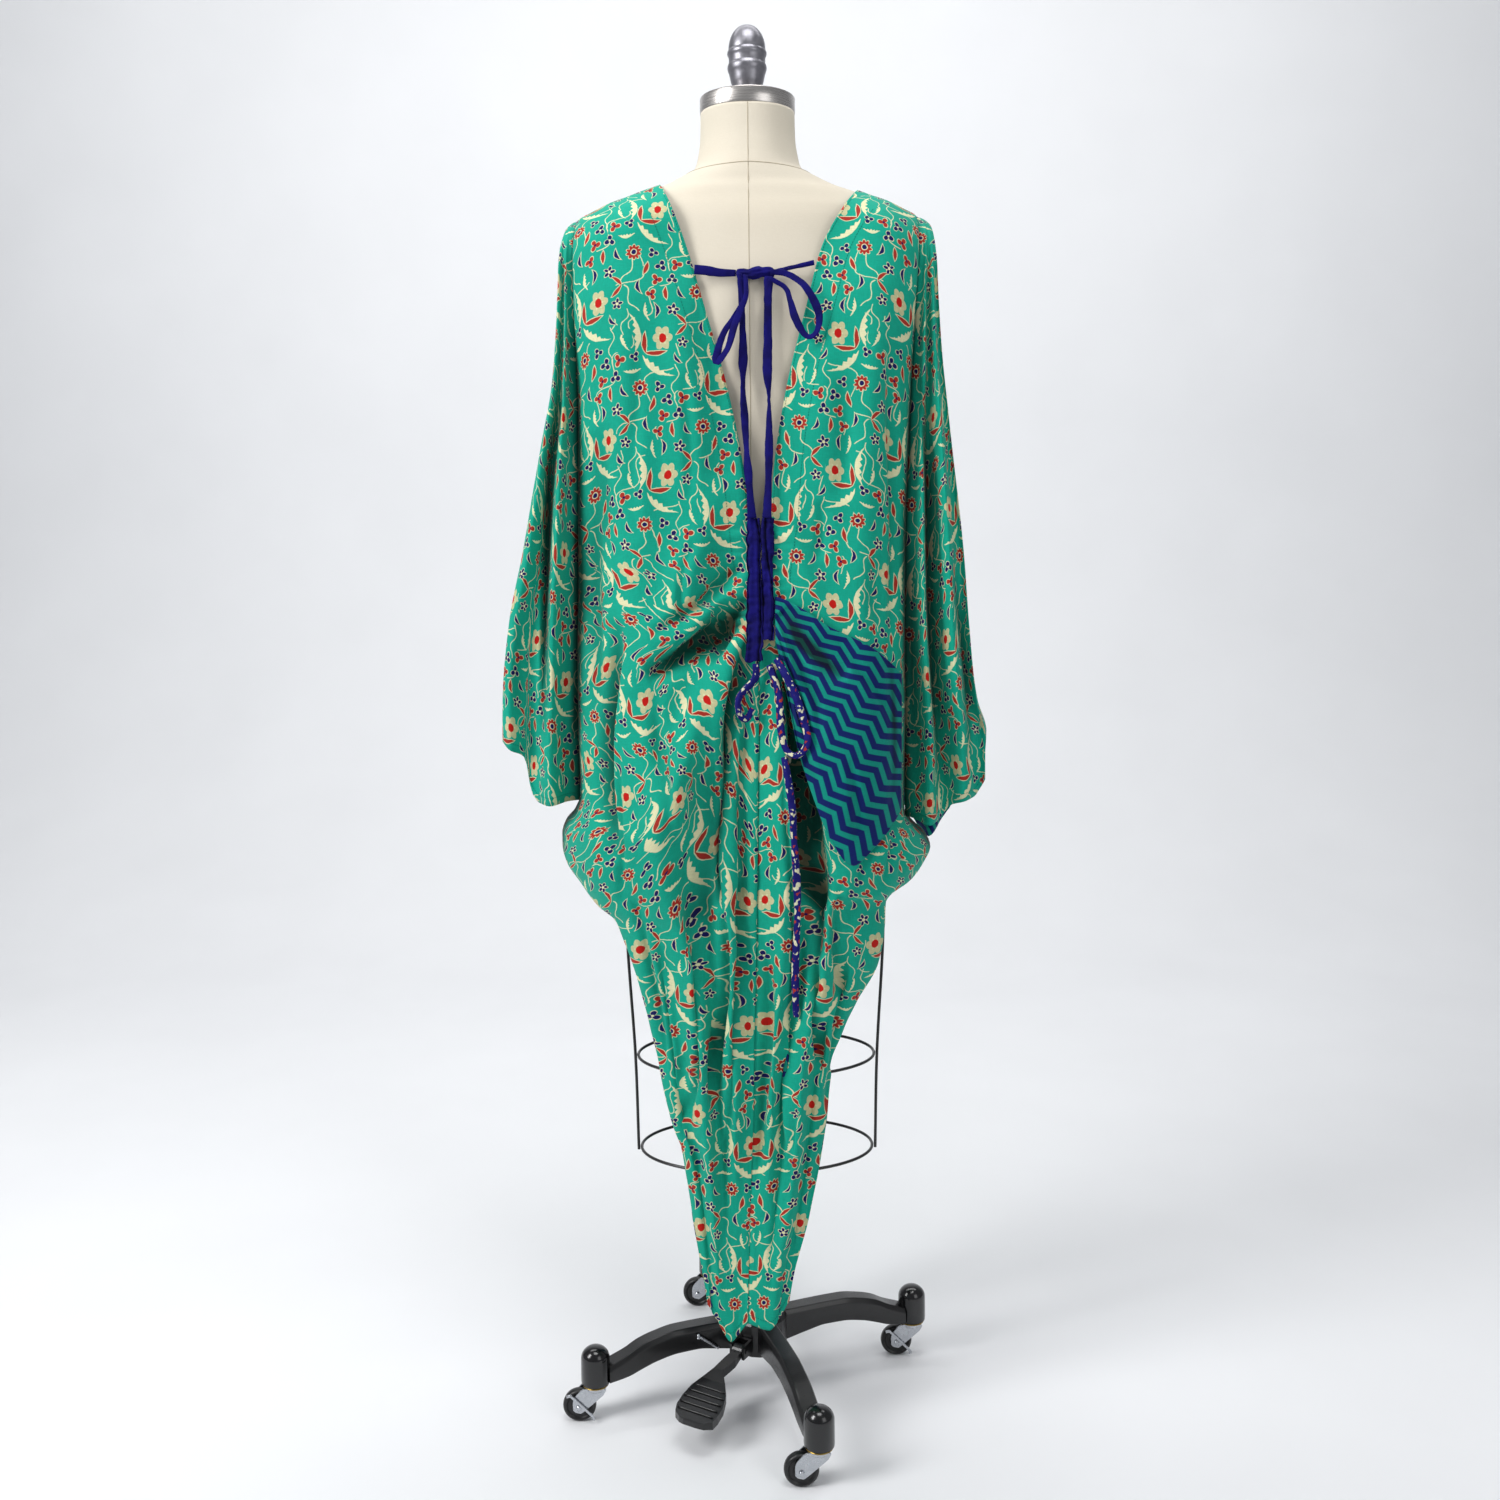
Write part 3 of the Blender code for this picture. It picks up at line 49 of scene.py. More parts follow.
photoView = {"spot": (0.0059, -1.7030, 1.0290), "tilt": 82.5, "roll": -0.55, "lens": 34.8, "sensor": 36.0}
eye = bpy.data.objects.new("photo_camera", bpy.data.cameras.new("photo_camera"))
bpy.context.scene.collection.objects.link(eye)
eye.data.lens = photoView["lens"]
eye.data.sensor_width = photoView["sensor"]
tilted = Matrix.Rotation(math.radians(photoView["tilt"]), 4, "X")
rolled = Matrix.Rotation(math.radians(photoView["roll"]), 4, "Z")
eye.matrix_world = Matrix.Translation(photoView["spot"]) @ tilted @ rolled
bpy.context.scene.camera = eye
print("camera in place")


def addPiece(name, points, faces, finish, body="mast", smooth=True, insideFinish=None):
    # points are measured from the form's axis
    mesh = bpy.data.meshes.new(name)
    mesh.from_pydata([tuple(p) for p in np.asarray(points, float) + formAxis], [], faces)
    mesh.materials.append(finish)
    if insideFinish:
        mesh.materials.append(insideFinish)
    if smooth:
        mesh.shade_smooth()
    piece = bpy.data.objects.new(name, mesh)
    bpy.context.scene.collection.objects.link(piece)
    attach(piece, body)
    return piece


def lineThrough(keys, values):
    # smooth line through a table's values that never overshoots them
    x = np.array(keys, float)
    y = np.array(values, float)
    if x[0] > x[-1]:
        x, y = x[::-1], y[::-1]
    step = np.diff(x)
    slope = np.diff(y) / step
    tangent = np.zeros(len(x))
    tangent[0], tangent[-1] = slope[0], slope[-1]
    for i in range(1, len(x) - 1):
        if slope[i - 1] * slope[i] > 0:
            before = 2 * step[i] + step[i - 1]
            after = step[i] + 2 * step[i - 1]
            tangent[i] = (before + after) / (before / slope[i - 1] + after / slope[i])

    def valueAt(key):
        key = np.clip(key, x[0], x[-1])
        i = np.minimum(np.searchsorted(x, key, side="right") - 1, len(step) - 1)
        s = (key - x[i]) / step[i]
        start = (1 + 2 * s) * (1 - s) ** 2 * y[i] + s * s * (3 - 2 * s) * y[i + 1]
        bend = s * (1 - s) ** 2 * tangent[i] - s * s * (1 - s) * tangent[i + 1]
        return start + bend * step[i]

    return valueAt


def linesOf(table):
    keys = [row[0] for row in table]
    return [lineThrough(keys, [row[c] for row in table]) for c in range(1, len(table[0]))]


def evenRoute(points, spacing):
    # points at an even spacing along a smooth curve through a route's own points
    knots = np.array(points, float)
    ends = np.vstack([2 * knots[0] - knots[1], knots, 2 * knots[-1] - knots[-2]])
    fine = []
    for i in range(len(knots) - 1):
        p0, p1, p2, p3 = ends[i:i + 4]
        for s in range(24):
            t = s / 24
            fine.append(0.5 * (2 * p1 + (p2 - p0) * t + (2 * p0 - 5 * p1 + 4 * p2 - p3) * t * t
                               + (3 * p1 - p0 - 3 * p2 + p3) * t ** 3))
    fine.append(knots[-1])
    fine = np.array(fine)
    length = runAlong(fine)
    count = max(2, round(length[-1] / spacing))
    at = np.linspace(0, length[-1], count + 1)
    return np.stack([np.interp(at, length, fine[:, k]) for k in range(3)], axis=1)


def rising(value, over):
    return np.clip(value / over, 0, 1)


def eased(share):
    return share * share * (3 - 2 * share)


def unit(vectors):
    return vectors / np.linalg.norm(vectors, axis=1, keepdims=True)


def runAlong(line):
    # metres from a line's start to each of its points
    return np.concatenate([[0], np.cumsum(np.linalg.norm(np.diff(line, axis=0), axis=1))])


def ringFaces(rings, sides, closed=False, inward=False, first=0):
    # faces between rings of points, with a cap at each end unless they close on themselves
    faces = []
    for r in range(rings if closed else rings - 1):
        here, below = first + r * sides, first + (r + 1) % rings * sides
        faces += [(here + k, here + (k + 1) % sides, below + (k + 1) % sides, below + k)
                  for k in range(sides)]
    if inward:
        faces = [face[:1] + face[:0:-1] for face in faces]
    if not closed:
        caps = [tuple(first + k for k in range(sides))[::-1],
                tuple(first + (rings - 1) * sides + k for k in range(sides))]
        faces += [cap[::-1] for cap in caps] if inward else caps
    return faces


def ringsRound(middle, ahead, guide, radius, sides):
    # rings of points round a line, each square to the way ahead
    across = unit(np.cross(ahead, guide))
    over = np.cross(across, ahead)
    angles = [2 * math.pi * k / sides for k in range(sides)]
    rings = [middle + radius * (across * math.cos(a) + over * math.sin(a)) for a in angles]
    return np.stack(rings, axis=1).reshape(-1, 3)


def layPrint(piece, lengths):
    # metres along the cloth at each point, as the map that its print follows
    corners = np.zeros(len(piece.data.loops), dtype=np.int32)
    piece.data.loops.foreach_get("vertex_index", corners)
    placed = piece.data.uv_layers.new(name="cloth")
    placed.data.foreach_set("uv", lengths.reshape(-1, 2)[corners].ravel())


def bevel(piece, name, width, degrees):
    edge = piece.modifiers.new(name, "BEVEL")
    edge.width, edge.segments, edge.angle_limit = width, 2, math.radians(degrees)
    return edge


def millimetres(text):
    # rows of numbers split by commas, in millimetres, as metres
    return [tuple(float(number + "e-3") for number in row.split()) for row in text.split(",")]


def creasesOf(text):
    # creases split by semicolons; the first row is the width to the left and right and the depth
    creases = [millimetres(crease) for crease in text.split(";")]
    return [(route, *shape) for shape, *route in creases]


def linear(hexColour):
    # sRGB hex to the linear colour that a shader wants
    shares = [int(hexColour[i:i + 2], 16) / 255 for i in (1, 3, 5)]
    return tuple(c / 12.92 if c <= 0.04045 else ((c + 0.055) / 1.055) ** 2.4 for c in shares) + (1.0,)


def plug(sockets):
    # links or sets each socket
    for socket, value in sockets:
        if isinstance(value, bpy.types.NodeSocket):
            socket.id_data.links.new(value, socket)
        elif value is not None:
            socket.default_value = value


def addNode(tree, kind, *values, **named):
    # one node with its settings and links; kind may end with what it works out, the values go to its
    # sockets in order, capitalised names are sockets and the rest are settings; gives its first output
    kind, _, work = kind.partition(" ")
    node = tree.nodes.new("ShaderNode" + kind)
    if work:
        setattr(node, "data_type" if kind == "Mix" else "operation", work)
    for name in filter(str.islower, named):
        setattr(node, name, named[name])
    plug(zip([socket for socket in node.inputs if socket.enabled], values))
    plug((node.inputs[name], value) for name, value in named.items() if name[0].isupper())
    return next(socket for socket in node.outputs if socket.enabled)


def setSockets(node, values):
    plug((node.inputs[name], value) for name, value in values.items())


def newFinish(name):
    finish = bpy.data.materials.new(name)
    finish.use_nodes = True
    # the finish, the function that adds a node to it, and its shader
    return finish, partial(addNode, finish.node_tree), finish.node_tree.nodes["Principled BSDF"]


# Printed cotton lawn: plain weave, screen printed, so it is matt with crisp small colours and a faint sheen.
lotusPrint = {
    "cellWidth": 81.0, "cellHeight": 119.0, "turn": -32.9,  # mm, mm, degrees: one lotus in each cell
    "edge": 0.28, "outline": 0.78, "wobble": 0.55,  # mm
    "ground": "#04A188", "groundShade": "#04957C", "cream": "#D8D6AC", "creamLine": "#A5A272",
    "red": "#A02C20", "lotusRed": "#B81209", "navy": "#0E0E52",
    # motif: x, y, angle, scale of each, in mm from the lotus, x to the outside
    "lotus": ((0, 0, 0, 1.0),),
    "bracket": ((-19.5, -16.0, 46, 1.0), (27.0, 13.5, 180, 0.72)),
    "feather": ((-27, 8, 97, 1.0), (-8, -33, -34, 1.0), (90.7, 53.1, -69, 0.52), (51.3, -17.3, -76, 0.52),
                (99.5, 22.8, 7, 0.50)),
    "stem": ((31, 25, 62, 1.0), (33, 2, -64, 1.0), (28.6, -23.5, -107, 0.9), (76.8, 54.3, -100, 0.9)),
    "daisy": ((38.8, 49.0, 18, 1.0),),
    "star": ((12.4, 29.4, 77, 1.0), (21.2, -5.7, 81, 0.9)),
    "trefoil": ((63.0, 18.6, 2, 1.0), (57.6, 2.7, -65, 0.95), (84.8, 35.9, 2, 1.05)),
    "bud": ((79.9, 19.6, 87, 1.0), (59.5, 49.0, -3, 0.95), (68.1, 34.6, -48, 1.05), (101.6, 37.8, -67, 0.9)),
    "comma": ((42.8, 10.2, -80, 1.0), (87.4, 2.4, -63, 0.9), (64.2, -14.2, 92, 1.0),
              (13.9, -23.5, -55, 0.85)),
    "lens": ((52.3, 30.9, 73, 1.0), (72.3, 3.3, -87, 0.95)),
    # offset, swing and wavelength in mm, start in radians
    "vine": ((17.5, 12.0, 59.5, 0.0), (50.0, 8.0, 39.67, 2.1)),
}


def motifSpace(add, printed, spots, design):
    # each point in the nearest copy of a motif's own millimetres: x along the motif, and how far off it is
    turn = math.radians(design["turn"])
    half = (design["cellWidth"] / 2, design["cellHeight"] / 2)
    nearest = None
    for x, y, angle, scale in spots:
        spot = (x * math.cos(turn) + y * math.sin(turn), y * math.cos(turn) - x * math.sin(turn), 0)
        high = (spot[0] + half[0], spot[1] + half[1], 0)
        low = (spot[0] - half[0], spot[1] - half[1], 0)
        folded = add("VectorMath WRAP", printed, high, low)
        own = add("Mapping", folded, Location=spot, Scale=(scale, scale, 1),
                  Rotation=(0, 0, math.radians(angle) - turn), vector_type="TEXTURE")
        away = add("VectorMath LENGTH", own)
        if nearest is None:
            nearest, closest = own, away
        else:
            closer = add("Math LESS_THAN", away, closest)
            nearest = add("Mix VECTOR", closer, nearest, own)
            closest = add("Math MINIMUM", away, closest)
    return nearest, closest


def petalEdge(add, own, away, petals, radius, share):
    # distance outside a flower's edge whose lobes reach radius, cut in to share of it between them
    axes = add("SeparateXYZ", own).node.outputs
    angle = add("Math ARCTAN2", axes[1], axes[0])
    lobes = add("Math MULTIPLY", angle, petals / 2)
    lobes = add("Math COSINE", lobes)
    lobes = add("Math ABSOLUTE", lobes)
    reach = add("Math MULTIPLY_ADD", lobes, radius * (1 - share), radius * share)
    return add("Math SUBTRACT", away, reach)


def leafEdge(add, own, length, width, bend, teeth=0.0, tail=0.0):
    # distance outside a bent, pointed leaf; teeth notch one edge, and tail draws out its far end
    axes = add("SeparateXYZ", own).node.outputs
    along = add("Math MULTIPLY", axes[0], 2 / length)
    square = add("Math MULTIPLY", along, along)
    middle = add("Math MULTIPLY_ADD", square, -bend, axes[1])
    off = add("Math ABSOLUTE", middle)
    half = add("Math MULTIPLY_ADD", square, -width / 2, width / 2)
    if tail:
        taper = add("Math MULTIPLY_ADD", along, -tail, 1.0)
        half = add("Math MULTIPLY", half, taper)
    if teeth:
        notch = add("Math PINGPONG", axes[0], 3.4)
        front = add("Math GREATER_THAN", middle, 0.6)
        notch = add("Math MULTIPLY", notch, front)
        off = add("Math MULTIPLY_ADD", notch, teeth, off)
    return add("Math SUBTRACT", off, half)


def least(add, first, *others):
    for other in others:
        first = add("Math MINIMUM", first, other)
    return first


def lotusColour(add, design, uv):
    # the printed colour at uv, which is in metres along the cloth
    printed = add("VectorMath SCALE", uv, 1000.0)
    wander = add("TexNoise", printed, 0.11, 3.0).node.outputs["Color"]
    wander = add("VectorMath SUBTRACT", wander, (0.5, 0.5, 0.5))
    wander = add("VectorMath SCALE", wander, design["wobble"] * 5)
    printed = add("VectorMath ADD", printed, wander)
    laid = add("Mapping", printed, Rotation=(0, 0, -math.radians(design["turn"])),
               vector_type="POINT")
    laid = add("VectorMath MULTIPLY", laid, (1, 1, 0))
    own, away = {}, {}
    for motif in ("lotus", "bracket", "feather", "stem", "daisy", "star", "trefoil", "bud", "comma", "lens"):
        own[motif], away[motif] = motifSpace(add, laid, design[motif], design)
    # lotus: six broad cream petals, taller than wide, round a red oval
    tall = add("VectorMath MULTIPLY", own["lotus"], (1.22, 1.0, 0))
    tallAway = add("VectorMath LENGTH", tall)
    lotusEdge = petalEdge(add, tall, tallAway, 6, 13.2, 0.70)
    lotusOval = add("Math SUBTRACT", tallAway, 4.9)
    lotusVeins = add("Math ADD", petalEdge(add, tall, tallAway, 6, 12.4, 0.0), 6.0)
    # bracket: two red leaves that meet in a corner, folded onto one
    fold = add("VectorMath ABSOLUTE", own["bracket"])
    kept = add("SeparateXYZ", own["bracket"]).node.outputs
    upper = add("SeparateXYZ", fold).node.outputs
    corner = add("CombineXYZ", kept[0], upper[1])
    arm = add("Mapping", corner, Location=(8.0, 8.2, 0), Rotation=(0, 0, math.radians(45)),
              vector_type="TEXTURE")
    armEdge = leafEdge(add, arm, 22.5, 4.9, -1.5)
    # flowers
    daisyEdge = petalEdge(add, own["daisy"], away["daisy"], 10, 8.2, 0.66)
    daisyRing = add("Math SUBTRACT", 3.4, away["daisy"])
    daisyRed = add("Math MAXIMUM", daisyEdge, daisyRing)
    daisyEye = add("Math SUBTRACT", away["daisy"], 2.5)
    starEdge = petalEdge(add, own["star"], away["star"], 5, 6.4, 0.20)
    starHeart = add("Math SUBTRACT", 1.7, away["star"])
    starNavy = add("Math MAXIMUM", starEdge, starHeart)
    starCream = add("Math SUBTRACT", away["star"], 4.4)
    trefoilEdge = petalEdge(add, own["trefoil"], away["trefoil"], 3, 6.2, 0.24)
    trefoilEye = add("Math SUBTRACT", away["trefoil"], 1.2)
    budEdge = petalEdge(add, own["bud"], away["bud"], 3, 6.0, 0.16)
    budHeart = add("Math SUBTRACT", 1.2, away["bud"])
    budNavy = add("Math MAXIMUM", budEdge, budHeart)
    # leaves and stems
    featherEdge = leafEdge(add, own["feather"], 41.0, 7.6, 5.0, 0.80, 0.45)
    commaEdge = leafEdge(add, own["comma"], 14.5, 3.8, 2.8)
    lensEdge = leafEdge(add, own["lens"], 15.0, 4.4, 1.0)
    stemAxes = add("SeparateXYZ", own["stem"]).node.outputs
    wave = add("Math MULTIPLY", stemAxes[0], 0.235)
    wave = add("Math SINE", wave)
    stemOff = add("Math MULTIPLY_ADD", wave, 3.0, stemAxes[1])
    stemOff = add("Math ABSOLUTE", stemOff)
    stemEdge = add("Math SUBTRACT", stemOff, 0.54)
    stemEnd = add("Math SUBTRACT", away["stem"], 22.0)
    stemEdge = add("Math MAXIMUM", stemEdge, stemEnd)
    # vines: thin wandering lines that run on down the cloth, broken here and there
    laidAxes = add("SeparateXYZ", laid).node.outputs
    vines = []
    for offset, swingMm, wavelength, start in design["vine"]:
        phase = add("Math MULTIPLY_ADD", laidAxes[1], 2 * math.pi / wavelength, start)
        swing = add("Math SINE", phase)
        across = add("Math MULTIPLY_ADD", swing, swingMm, laidAxes[0])
        across = add("Math SUBTRACT", across, offset)
        across = add("Math WRAP", across, design["cellWidth"] / 2, -design["cellWidth"] / 2)
        # the line keeps its width where it runs steeply
        slant = add("Math COSINE", phase)
        slant = add("Math MULTIPLY", slant, swingMm * 2 * math.pi / wavelength)
        slant = add("Math MULTIPLY_ADD", slant, slant, 1.0)
        slant = add("Math POWER", slant, 0.5)
        across = add("Math ABSOLUTE", across)
        across = add("Math DIVIDE", across, slant)
        vines.append(add("Math SUBTRACT", across, 0.46))
    gaps = add("TexNoise", laid, 0.045, 0.0)
    gaps = add("MapRange", gaps, 0.5, 0.56, -9.0, 9.0)
    vineEdge = add("Math MAXIMUM", least(add, *vines), gaps)
    redEdge = least(add, armEdge, daisyRed, trefoilEdge, lensEdge)
    navyEdge = least(add, starNavy, budNavy, commaEdge, daisyEye, trefoilEye)
    lined = least(add, redEdge, starNavy, budNavy, commaEdge)
    lined = add("Math SUBTRACT", lined, design["outline"])
    daisyCream = add("Math SUBTRACT", away["daisy"], 4.0)
    creamEdge = least(add, lined, lotusEdge, featherEdge, stemEdge, vineEdge, starCream, daisyCream, budEdge)
    shade = add("TexNoise", printed, 0.018, 2.0)
    colour = add("Mix RGBA", shade, linear(design["groundShade"]), linear(design["ground"]))
    vein = add("MapRange", lotusVeins, -1.0, 1.6, 0.0, 0.55)
    heart = add("Math LESS_THAN", lotusEdge, -0.2)
    vein = add("Math MULTIPLY", vein, heart)
    cream = add("Mix RGBA", vein, linear(design["cream"]), linear(design["creamLine"]))
    soft = design["edge"]
    inks = ((creamEdge, cream), (redEdge, linear(design["red"])), (navyEdge, linear(design["navy"])),
            (lotusOval, linear(design["lotusRed"])))
    for edge, ink in inks:
        mask = add("MapRange", edge, -soft, soft, 1.0, 0.0)
        colour = add("Mix RGBA", mask, colour, ink)
    return colour


# Thick threads of the weave: length and width in mm, drawn wider than life so that they show. The last value
# is
# the painted fold shade: the share of the colour's value that is left in the deepest fold.
cottonWeave = {"slubLong": 9.0, "slubWide": 0.9, "bump": 0.22, "paintedFoldShade": 0.06}


def weaveInto(add, shader, uv, colour, weave):
    # slubs along both thread directions: a faint streak in the colour and a slight relief
    streaks = []
    for long, wide in ((weave["slubLong"], weave["slubWide"]), (weave["slubWide"], weave["slubLong"])):
        thread = add("Mapping", uv, Scale=(1000 / long, 1000 / wide, 1))
        streaks.append(add("TexNoise", thread, 1.0, 1.0))
    both = add("Math ADD", streaks[0], streaks[1])
    value = add("MapRange", both, 0.7, 1.3, 0.91, 1.07)
    # painted shade: deep in a fold the colour's value is darkened, as shade would darken it
    deep = add("Attribute", attribute_name="fold").node.outputs["Fac"]
    kept = add("MapRange", deep, None, None, 1.0, weave["paintedFoldShade"])
    value = add("Math MULTIPLY", value, kept)
    colour = add("HueSaturation", Value=value, Color=colour)
    setSockets(shader, {"Base Color": colour})
    relief = add("Bump", Height=both, Strength=weave["bump"], Distance=0.0004)
    setSockets(shader, {"Normal": relief})


def printedLawn(name, design, weave):
    finish, add, shader = newFinish(name)
    uv = add("UVMap", uv_map="cloth")
    weaveInto(add, shader, uv, lotusColour(add, design, uv), weave)
    setSockets(shader, {"Roughness": 0.78, "IOR": 1.5, "Specular IOR Level": 0.18,
                        "Sheen Weight": 0.05, "Sheen Roughness": 0.45})
    return finish


# Reverse of the cloth: the same lawn, screen printed with navy and teal zigzag bands.
zigzagPrint = {"band": 12.9, "run": 38.0, "rise": 4.5, "turn": -43.0, "teal": "#038777", "navy": "#021B5C"}


def zigzagLawn(name, design, weave):
    finish, add, shader = newFinish(name)
    uv = add("UVMap", uv_map="cloth")
    printed = add("VectorMath SCALE", uv, 1000.0)
    laid = add("Mapping", printed, Rotation=(0, 0, -math.radians(design["turn"])))
    axes = add("SeparateXYZ", laid).node.outputs
    swing = add("Math PINGPONG", axes[0], design["run"] / 2)
    swing = add("Math MULTIPLY_ADD", swing, 4 * design["rise"] / design["run"], axes[1])
    band = add("Math PINGPONG", swing, design["band"] / 2)
    mask = add("MapRange", band, design["band"] * 0.22 - 0.3, design["band"] * 0.22 + 0.3)
    colour = add("Mix RGBA", mask, linear(design["teal"]), linear(design["navy"]))
    weaveInto(add, shader, uv, colour, weave)
    setSockets(shader, {"Roughness": 0.8, "IOR": 1.5, "Specular IOR Level": 0.18,
                        "Sheen Weight": 0.05, "Sheen Roughness": 0.45})
    return finish


lotusLawn = printedLawn("screen printed cotton lawn", lotusPrint, cottonWeave)
zigzagReverse = zigzagLawn("zigzag printed cotton lawn", zigzagPrint, cottonWeave)


def dyedTape(name, colour, darker):
    # Woven cotton tape, piece dyed navy: matt, with a fine rib across and slightly paler patches here and
    # there.
    finish, add, shader = newFinish(name)
    where = add("TexCoord").node.outputs["Object"]
    ribs = add("TexNoise", where, 900.0, 2.0)
    patches = add("TexNoise", where, 60.0, 2.0)
    mixed = add("Math MULTIPLY_ADD", ribs, 0.5, patches)
    share = add("MapRange", mixed, 0.55, 0.95)
    tint = add("Mix RGBA", share, linear(darker), linear(colour))
    # painted shade: the tape's colour is darkened where the fold attribute marks folds and gathers
    deep = add("Attribute", attribute_name="fold").node.outputs["Fac"]
    kept = add("MapRange", deep, None, None, 1.0, cottonWeave["paintedFoldShade"])
    tint = add("HueSaturation", Value=kept, Color=tint)
    setSockets(shader, {"Base Color": tint})
    relief = add("Bump", Height=mixed, Strength=0.3, Distance=0.0003)
    setSockets(shader, {"Normal": relief, "Roughness": 0.82, "Specular IOR Level": 0.12,
                        "Sheen Weight": 0.02})
    return finish


navyTape = dyedTape("dyed cotton tape", "#110D66", "#0A0748")
navyThread = dyedTape("spun sewing thread", "#0C6F62", "#0A5A50")


def printedTube(name):
    # Tube cord sewn from the printed cloth: navy ground with broken cream and red flecks.
    finish, add, shader = newFinish(name)
    uv = add("UVMap", uv_map="cloth")
    printed = add("VectorMath SCALE", uv, 1000.0)
    longer = add("Mapping", printed, Scale=(0.2, 0.11, 1), Rotation=(0, 0, 0.5))
    flecks = add("TexNoise", longer, 1.0, 1.5)
    creamMask = add("MapRange", flecks, 0.585, 0.61)
    redMask = add("MapRange", flecks, 0.36, 0.335)
    colour = add("Mix RGBA", creamMask, linear("#14146A"), linear("#D9D6B4"))
    colour = add("Mix RGBA", redMask, colour, linear("#A8342A"))
    grain = add("TexNoise", printed, 1.1, 2.0)
    value = add("MapRange", grain, 0.3, 0.7, 0.85, 1.1)
    colour = add("HueSaturation", Value=value, Color=colour)
    setSockets(shader, {"Base Color": colour})
    relief = add("Bump", Height=grain, Strength=0.4, Distance=0.0004)
    setSockets(shader, {"Normal": relief, "Roughness": 0.8, "Specular IOR Level": 0.2})
    return finish


tubeCord = printedTube("printed cotton tube cord")
print("cloth finishes ready")

# Form that the cloth hangs on: height, half width, depth to the back, depth to the front
formRows = millimetres("""
    1519 52.5 52.5 52.5, 1495 53 53.5 53, 1470 56.5 57.5 55, 1458 61 61 57, 1446.5 82 64 59,
    1437 103.5 66 60, 1429 129 70 62, 1417.5 161 74 66, 1406 186 79 70, 1394 194 83 76, 1360 197 89 85,
    1330 194 95 98, 1300 188 99 109, 1245 177 100 124, 1190 168 95 126, 1130 153 87 113, 1050 136 80 98,
    970 148 89 100, 900 163 106 104, 840 170 115 104, 770 168 112 100, 715 162 104 95""")
formHeights, formHalves, formBacks, formFronts = np.array(formRows[::-1]).T
# distance from the middle, height of the shoulder seam
seamRows = millimetres("""
    59.3 1456, 98.9 1440.5, 128.2 1431.5, 152.9 1423.5, 170 1415.5, 185.1 1409, 197.3 1402.5, 204 1396""")
seamLine = lineThrough(*zip(*seamRows))
hanging = {"aboveShoulder": 0.0024, "clear": 0.0022, "roll": 0.060, "seam": 0.0005, "formRound": 2.2}


def formReach(x, z, side):
    # depth of the form's surface behind (side -1) or before (side 1) each x, z
    half = np.interp(z, formHeights, formHalves)
    deep = np.interp(z, formHeights, formBacks if side < 0 else formFronts)
    share = np.minimum(np.abs(x) / half, 1.0)
    reach = deep * (1 - share ** hanging["formRound"]) ** (1 / hanging["formRound"])
    return np.where(z > formHeights[-1], 0.0, reach)


def formClear(x, z, side):
    # the least depth at which the middle of the cloth clears the form
    clear = hanging["clear"]
    reach = np.zeros(np.shape(x))
    for step in range(8):
        turn = math.pi * step / 4
        reach = np.maximum(reach, formReach(x + clear * math.cos(turn), z + clear * math.sin(turn), side))
    return np.where(reach > 0, reach + clear, hanging["seam"])


def shoulderAt(x):
    ridge = np.interp(np.abs(x), formHalves[::-1][:11], formHeights[::-1][:11])
    return np.maximum(seamLine(np.abs(x)), ridge + hanging["aboveShoulder"])


def rolledOver(drop):
    # the shoulder's quarter round: 0 at the seam, 1 below it
    return np.sqrt(1 - (1 - np.clip(drop / hanging["roll"], 0, 1)) ** 2)


def foldDepth(folds, u, z):
    # how far the broad folds push the cloth out (+) or in (-) at share u across and height z
    total = np.zeros(np.shape(z))
    for top, bottom, uTop, uBottom, width, depth in folds:
        share = np.clip((top - z) / (top - bottom), 0, 1)
        middle = uTop + (uBottom - uTop) * share
        total += depth * np.sin(np.pi * share) ** 0.6 * np.exp(-((u - middle) / width) ** 2)
    return total


def creaseDepth(creases, x, z):
    # troughs (+) and ridges (-) along given routes of x, z; each fades out at both ends
    total = np.zeros(np.shape(x))
    for route, widthLeft, widthRight, depth in creases:
        spots = evenRoute([(a, 0.0, b) for a, b in route], 0.008)[:, [0, 2]]
        best = np.full(np.shape(x), 1e9)
        share = np.zeros(np.shape(x))
        side = np.zeros(np.shape(x))
        for i, (a, b) in enumerate(zip(spots, spots[1:])):
            run = b - a
            t = np.clip(((x - a[0]) * run[0] + (z - a[1]) * run[1]) / (run @ run), 0, 1)
            dx = x - a[0] - run[0] * t
            dz = z - a[1] - run[1] * t
            away = np.hypot(dx, dz)
            near = away < best
            best = np.where(near, away, best)
            share = np.where(near, (i + t) / (len(spots) - 1), share)
            side = np.where(near, dx * run[1] - dz * run[0], side)
        # a route runs down, so its left is where side is positive
        width = np.where(side * np.sign(spots[0, 1] - spots[-1, 1] + 1e-9) > 0, widthLeft, widthRight)
        fade = np.clip(np.sin(np.pi * share), 0, 1) ** 0.55
        total += depth * fade * np.exp(-(best / width) ** 2)
    return total


def unevenness(x, z, wide, tall, seed):
    # soft random relief from -1 to 1 with lumps of a given width and height in metres
    grains = np.random.default_rng(seed).uniform(-1, 1, (64, 64))
    a, b = x / wide + 300, z / tall + 300
    i, j = np.floor(a).astype(int), np.floor(b).astype(int)
    s, t = a - i, b - j
    s, t = eased(s), eased(t)
    i0, i1, j0, j1 = i % 64, (i + 1) % 64, j % 64, (j + 1) % 64
    low = grains[i0, j0] * (1 - s) + grains[i1, j0] * s
    high = grains[i0, j1] * (1 - s) + grains[i1, j1] * s
    return low * (1 - t) + high * t


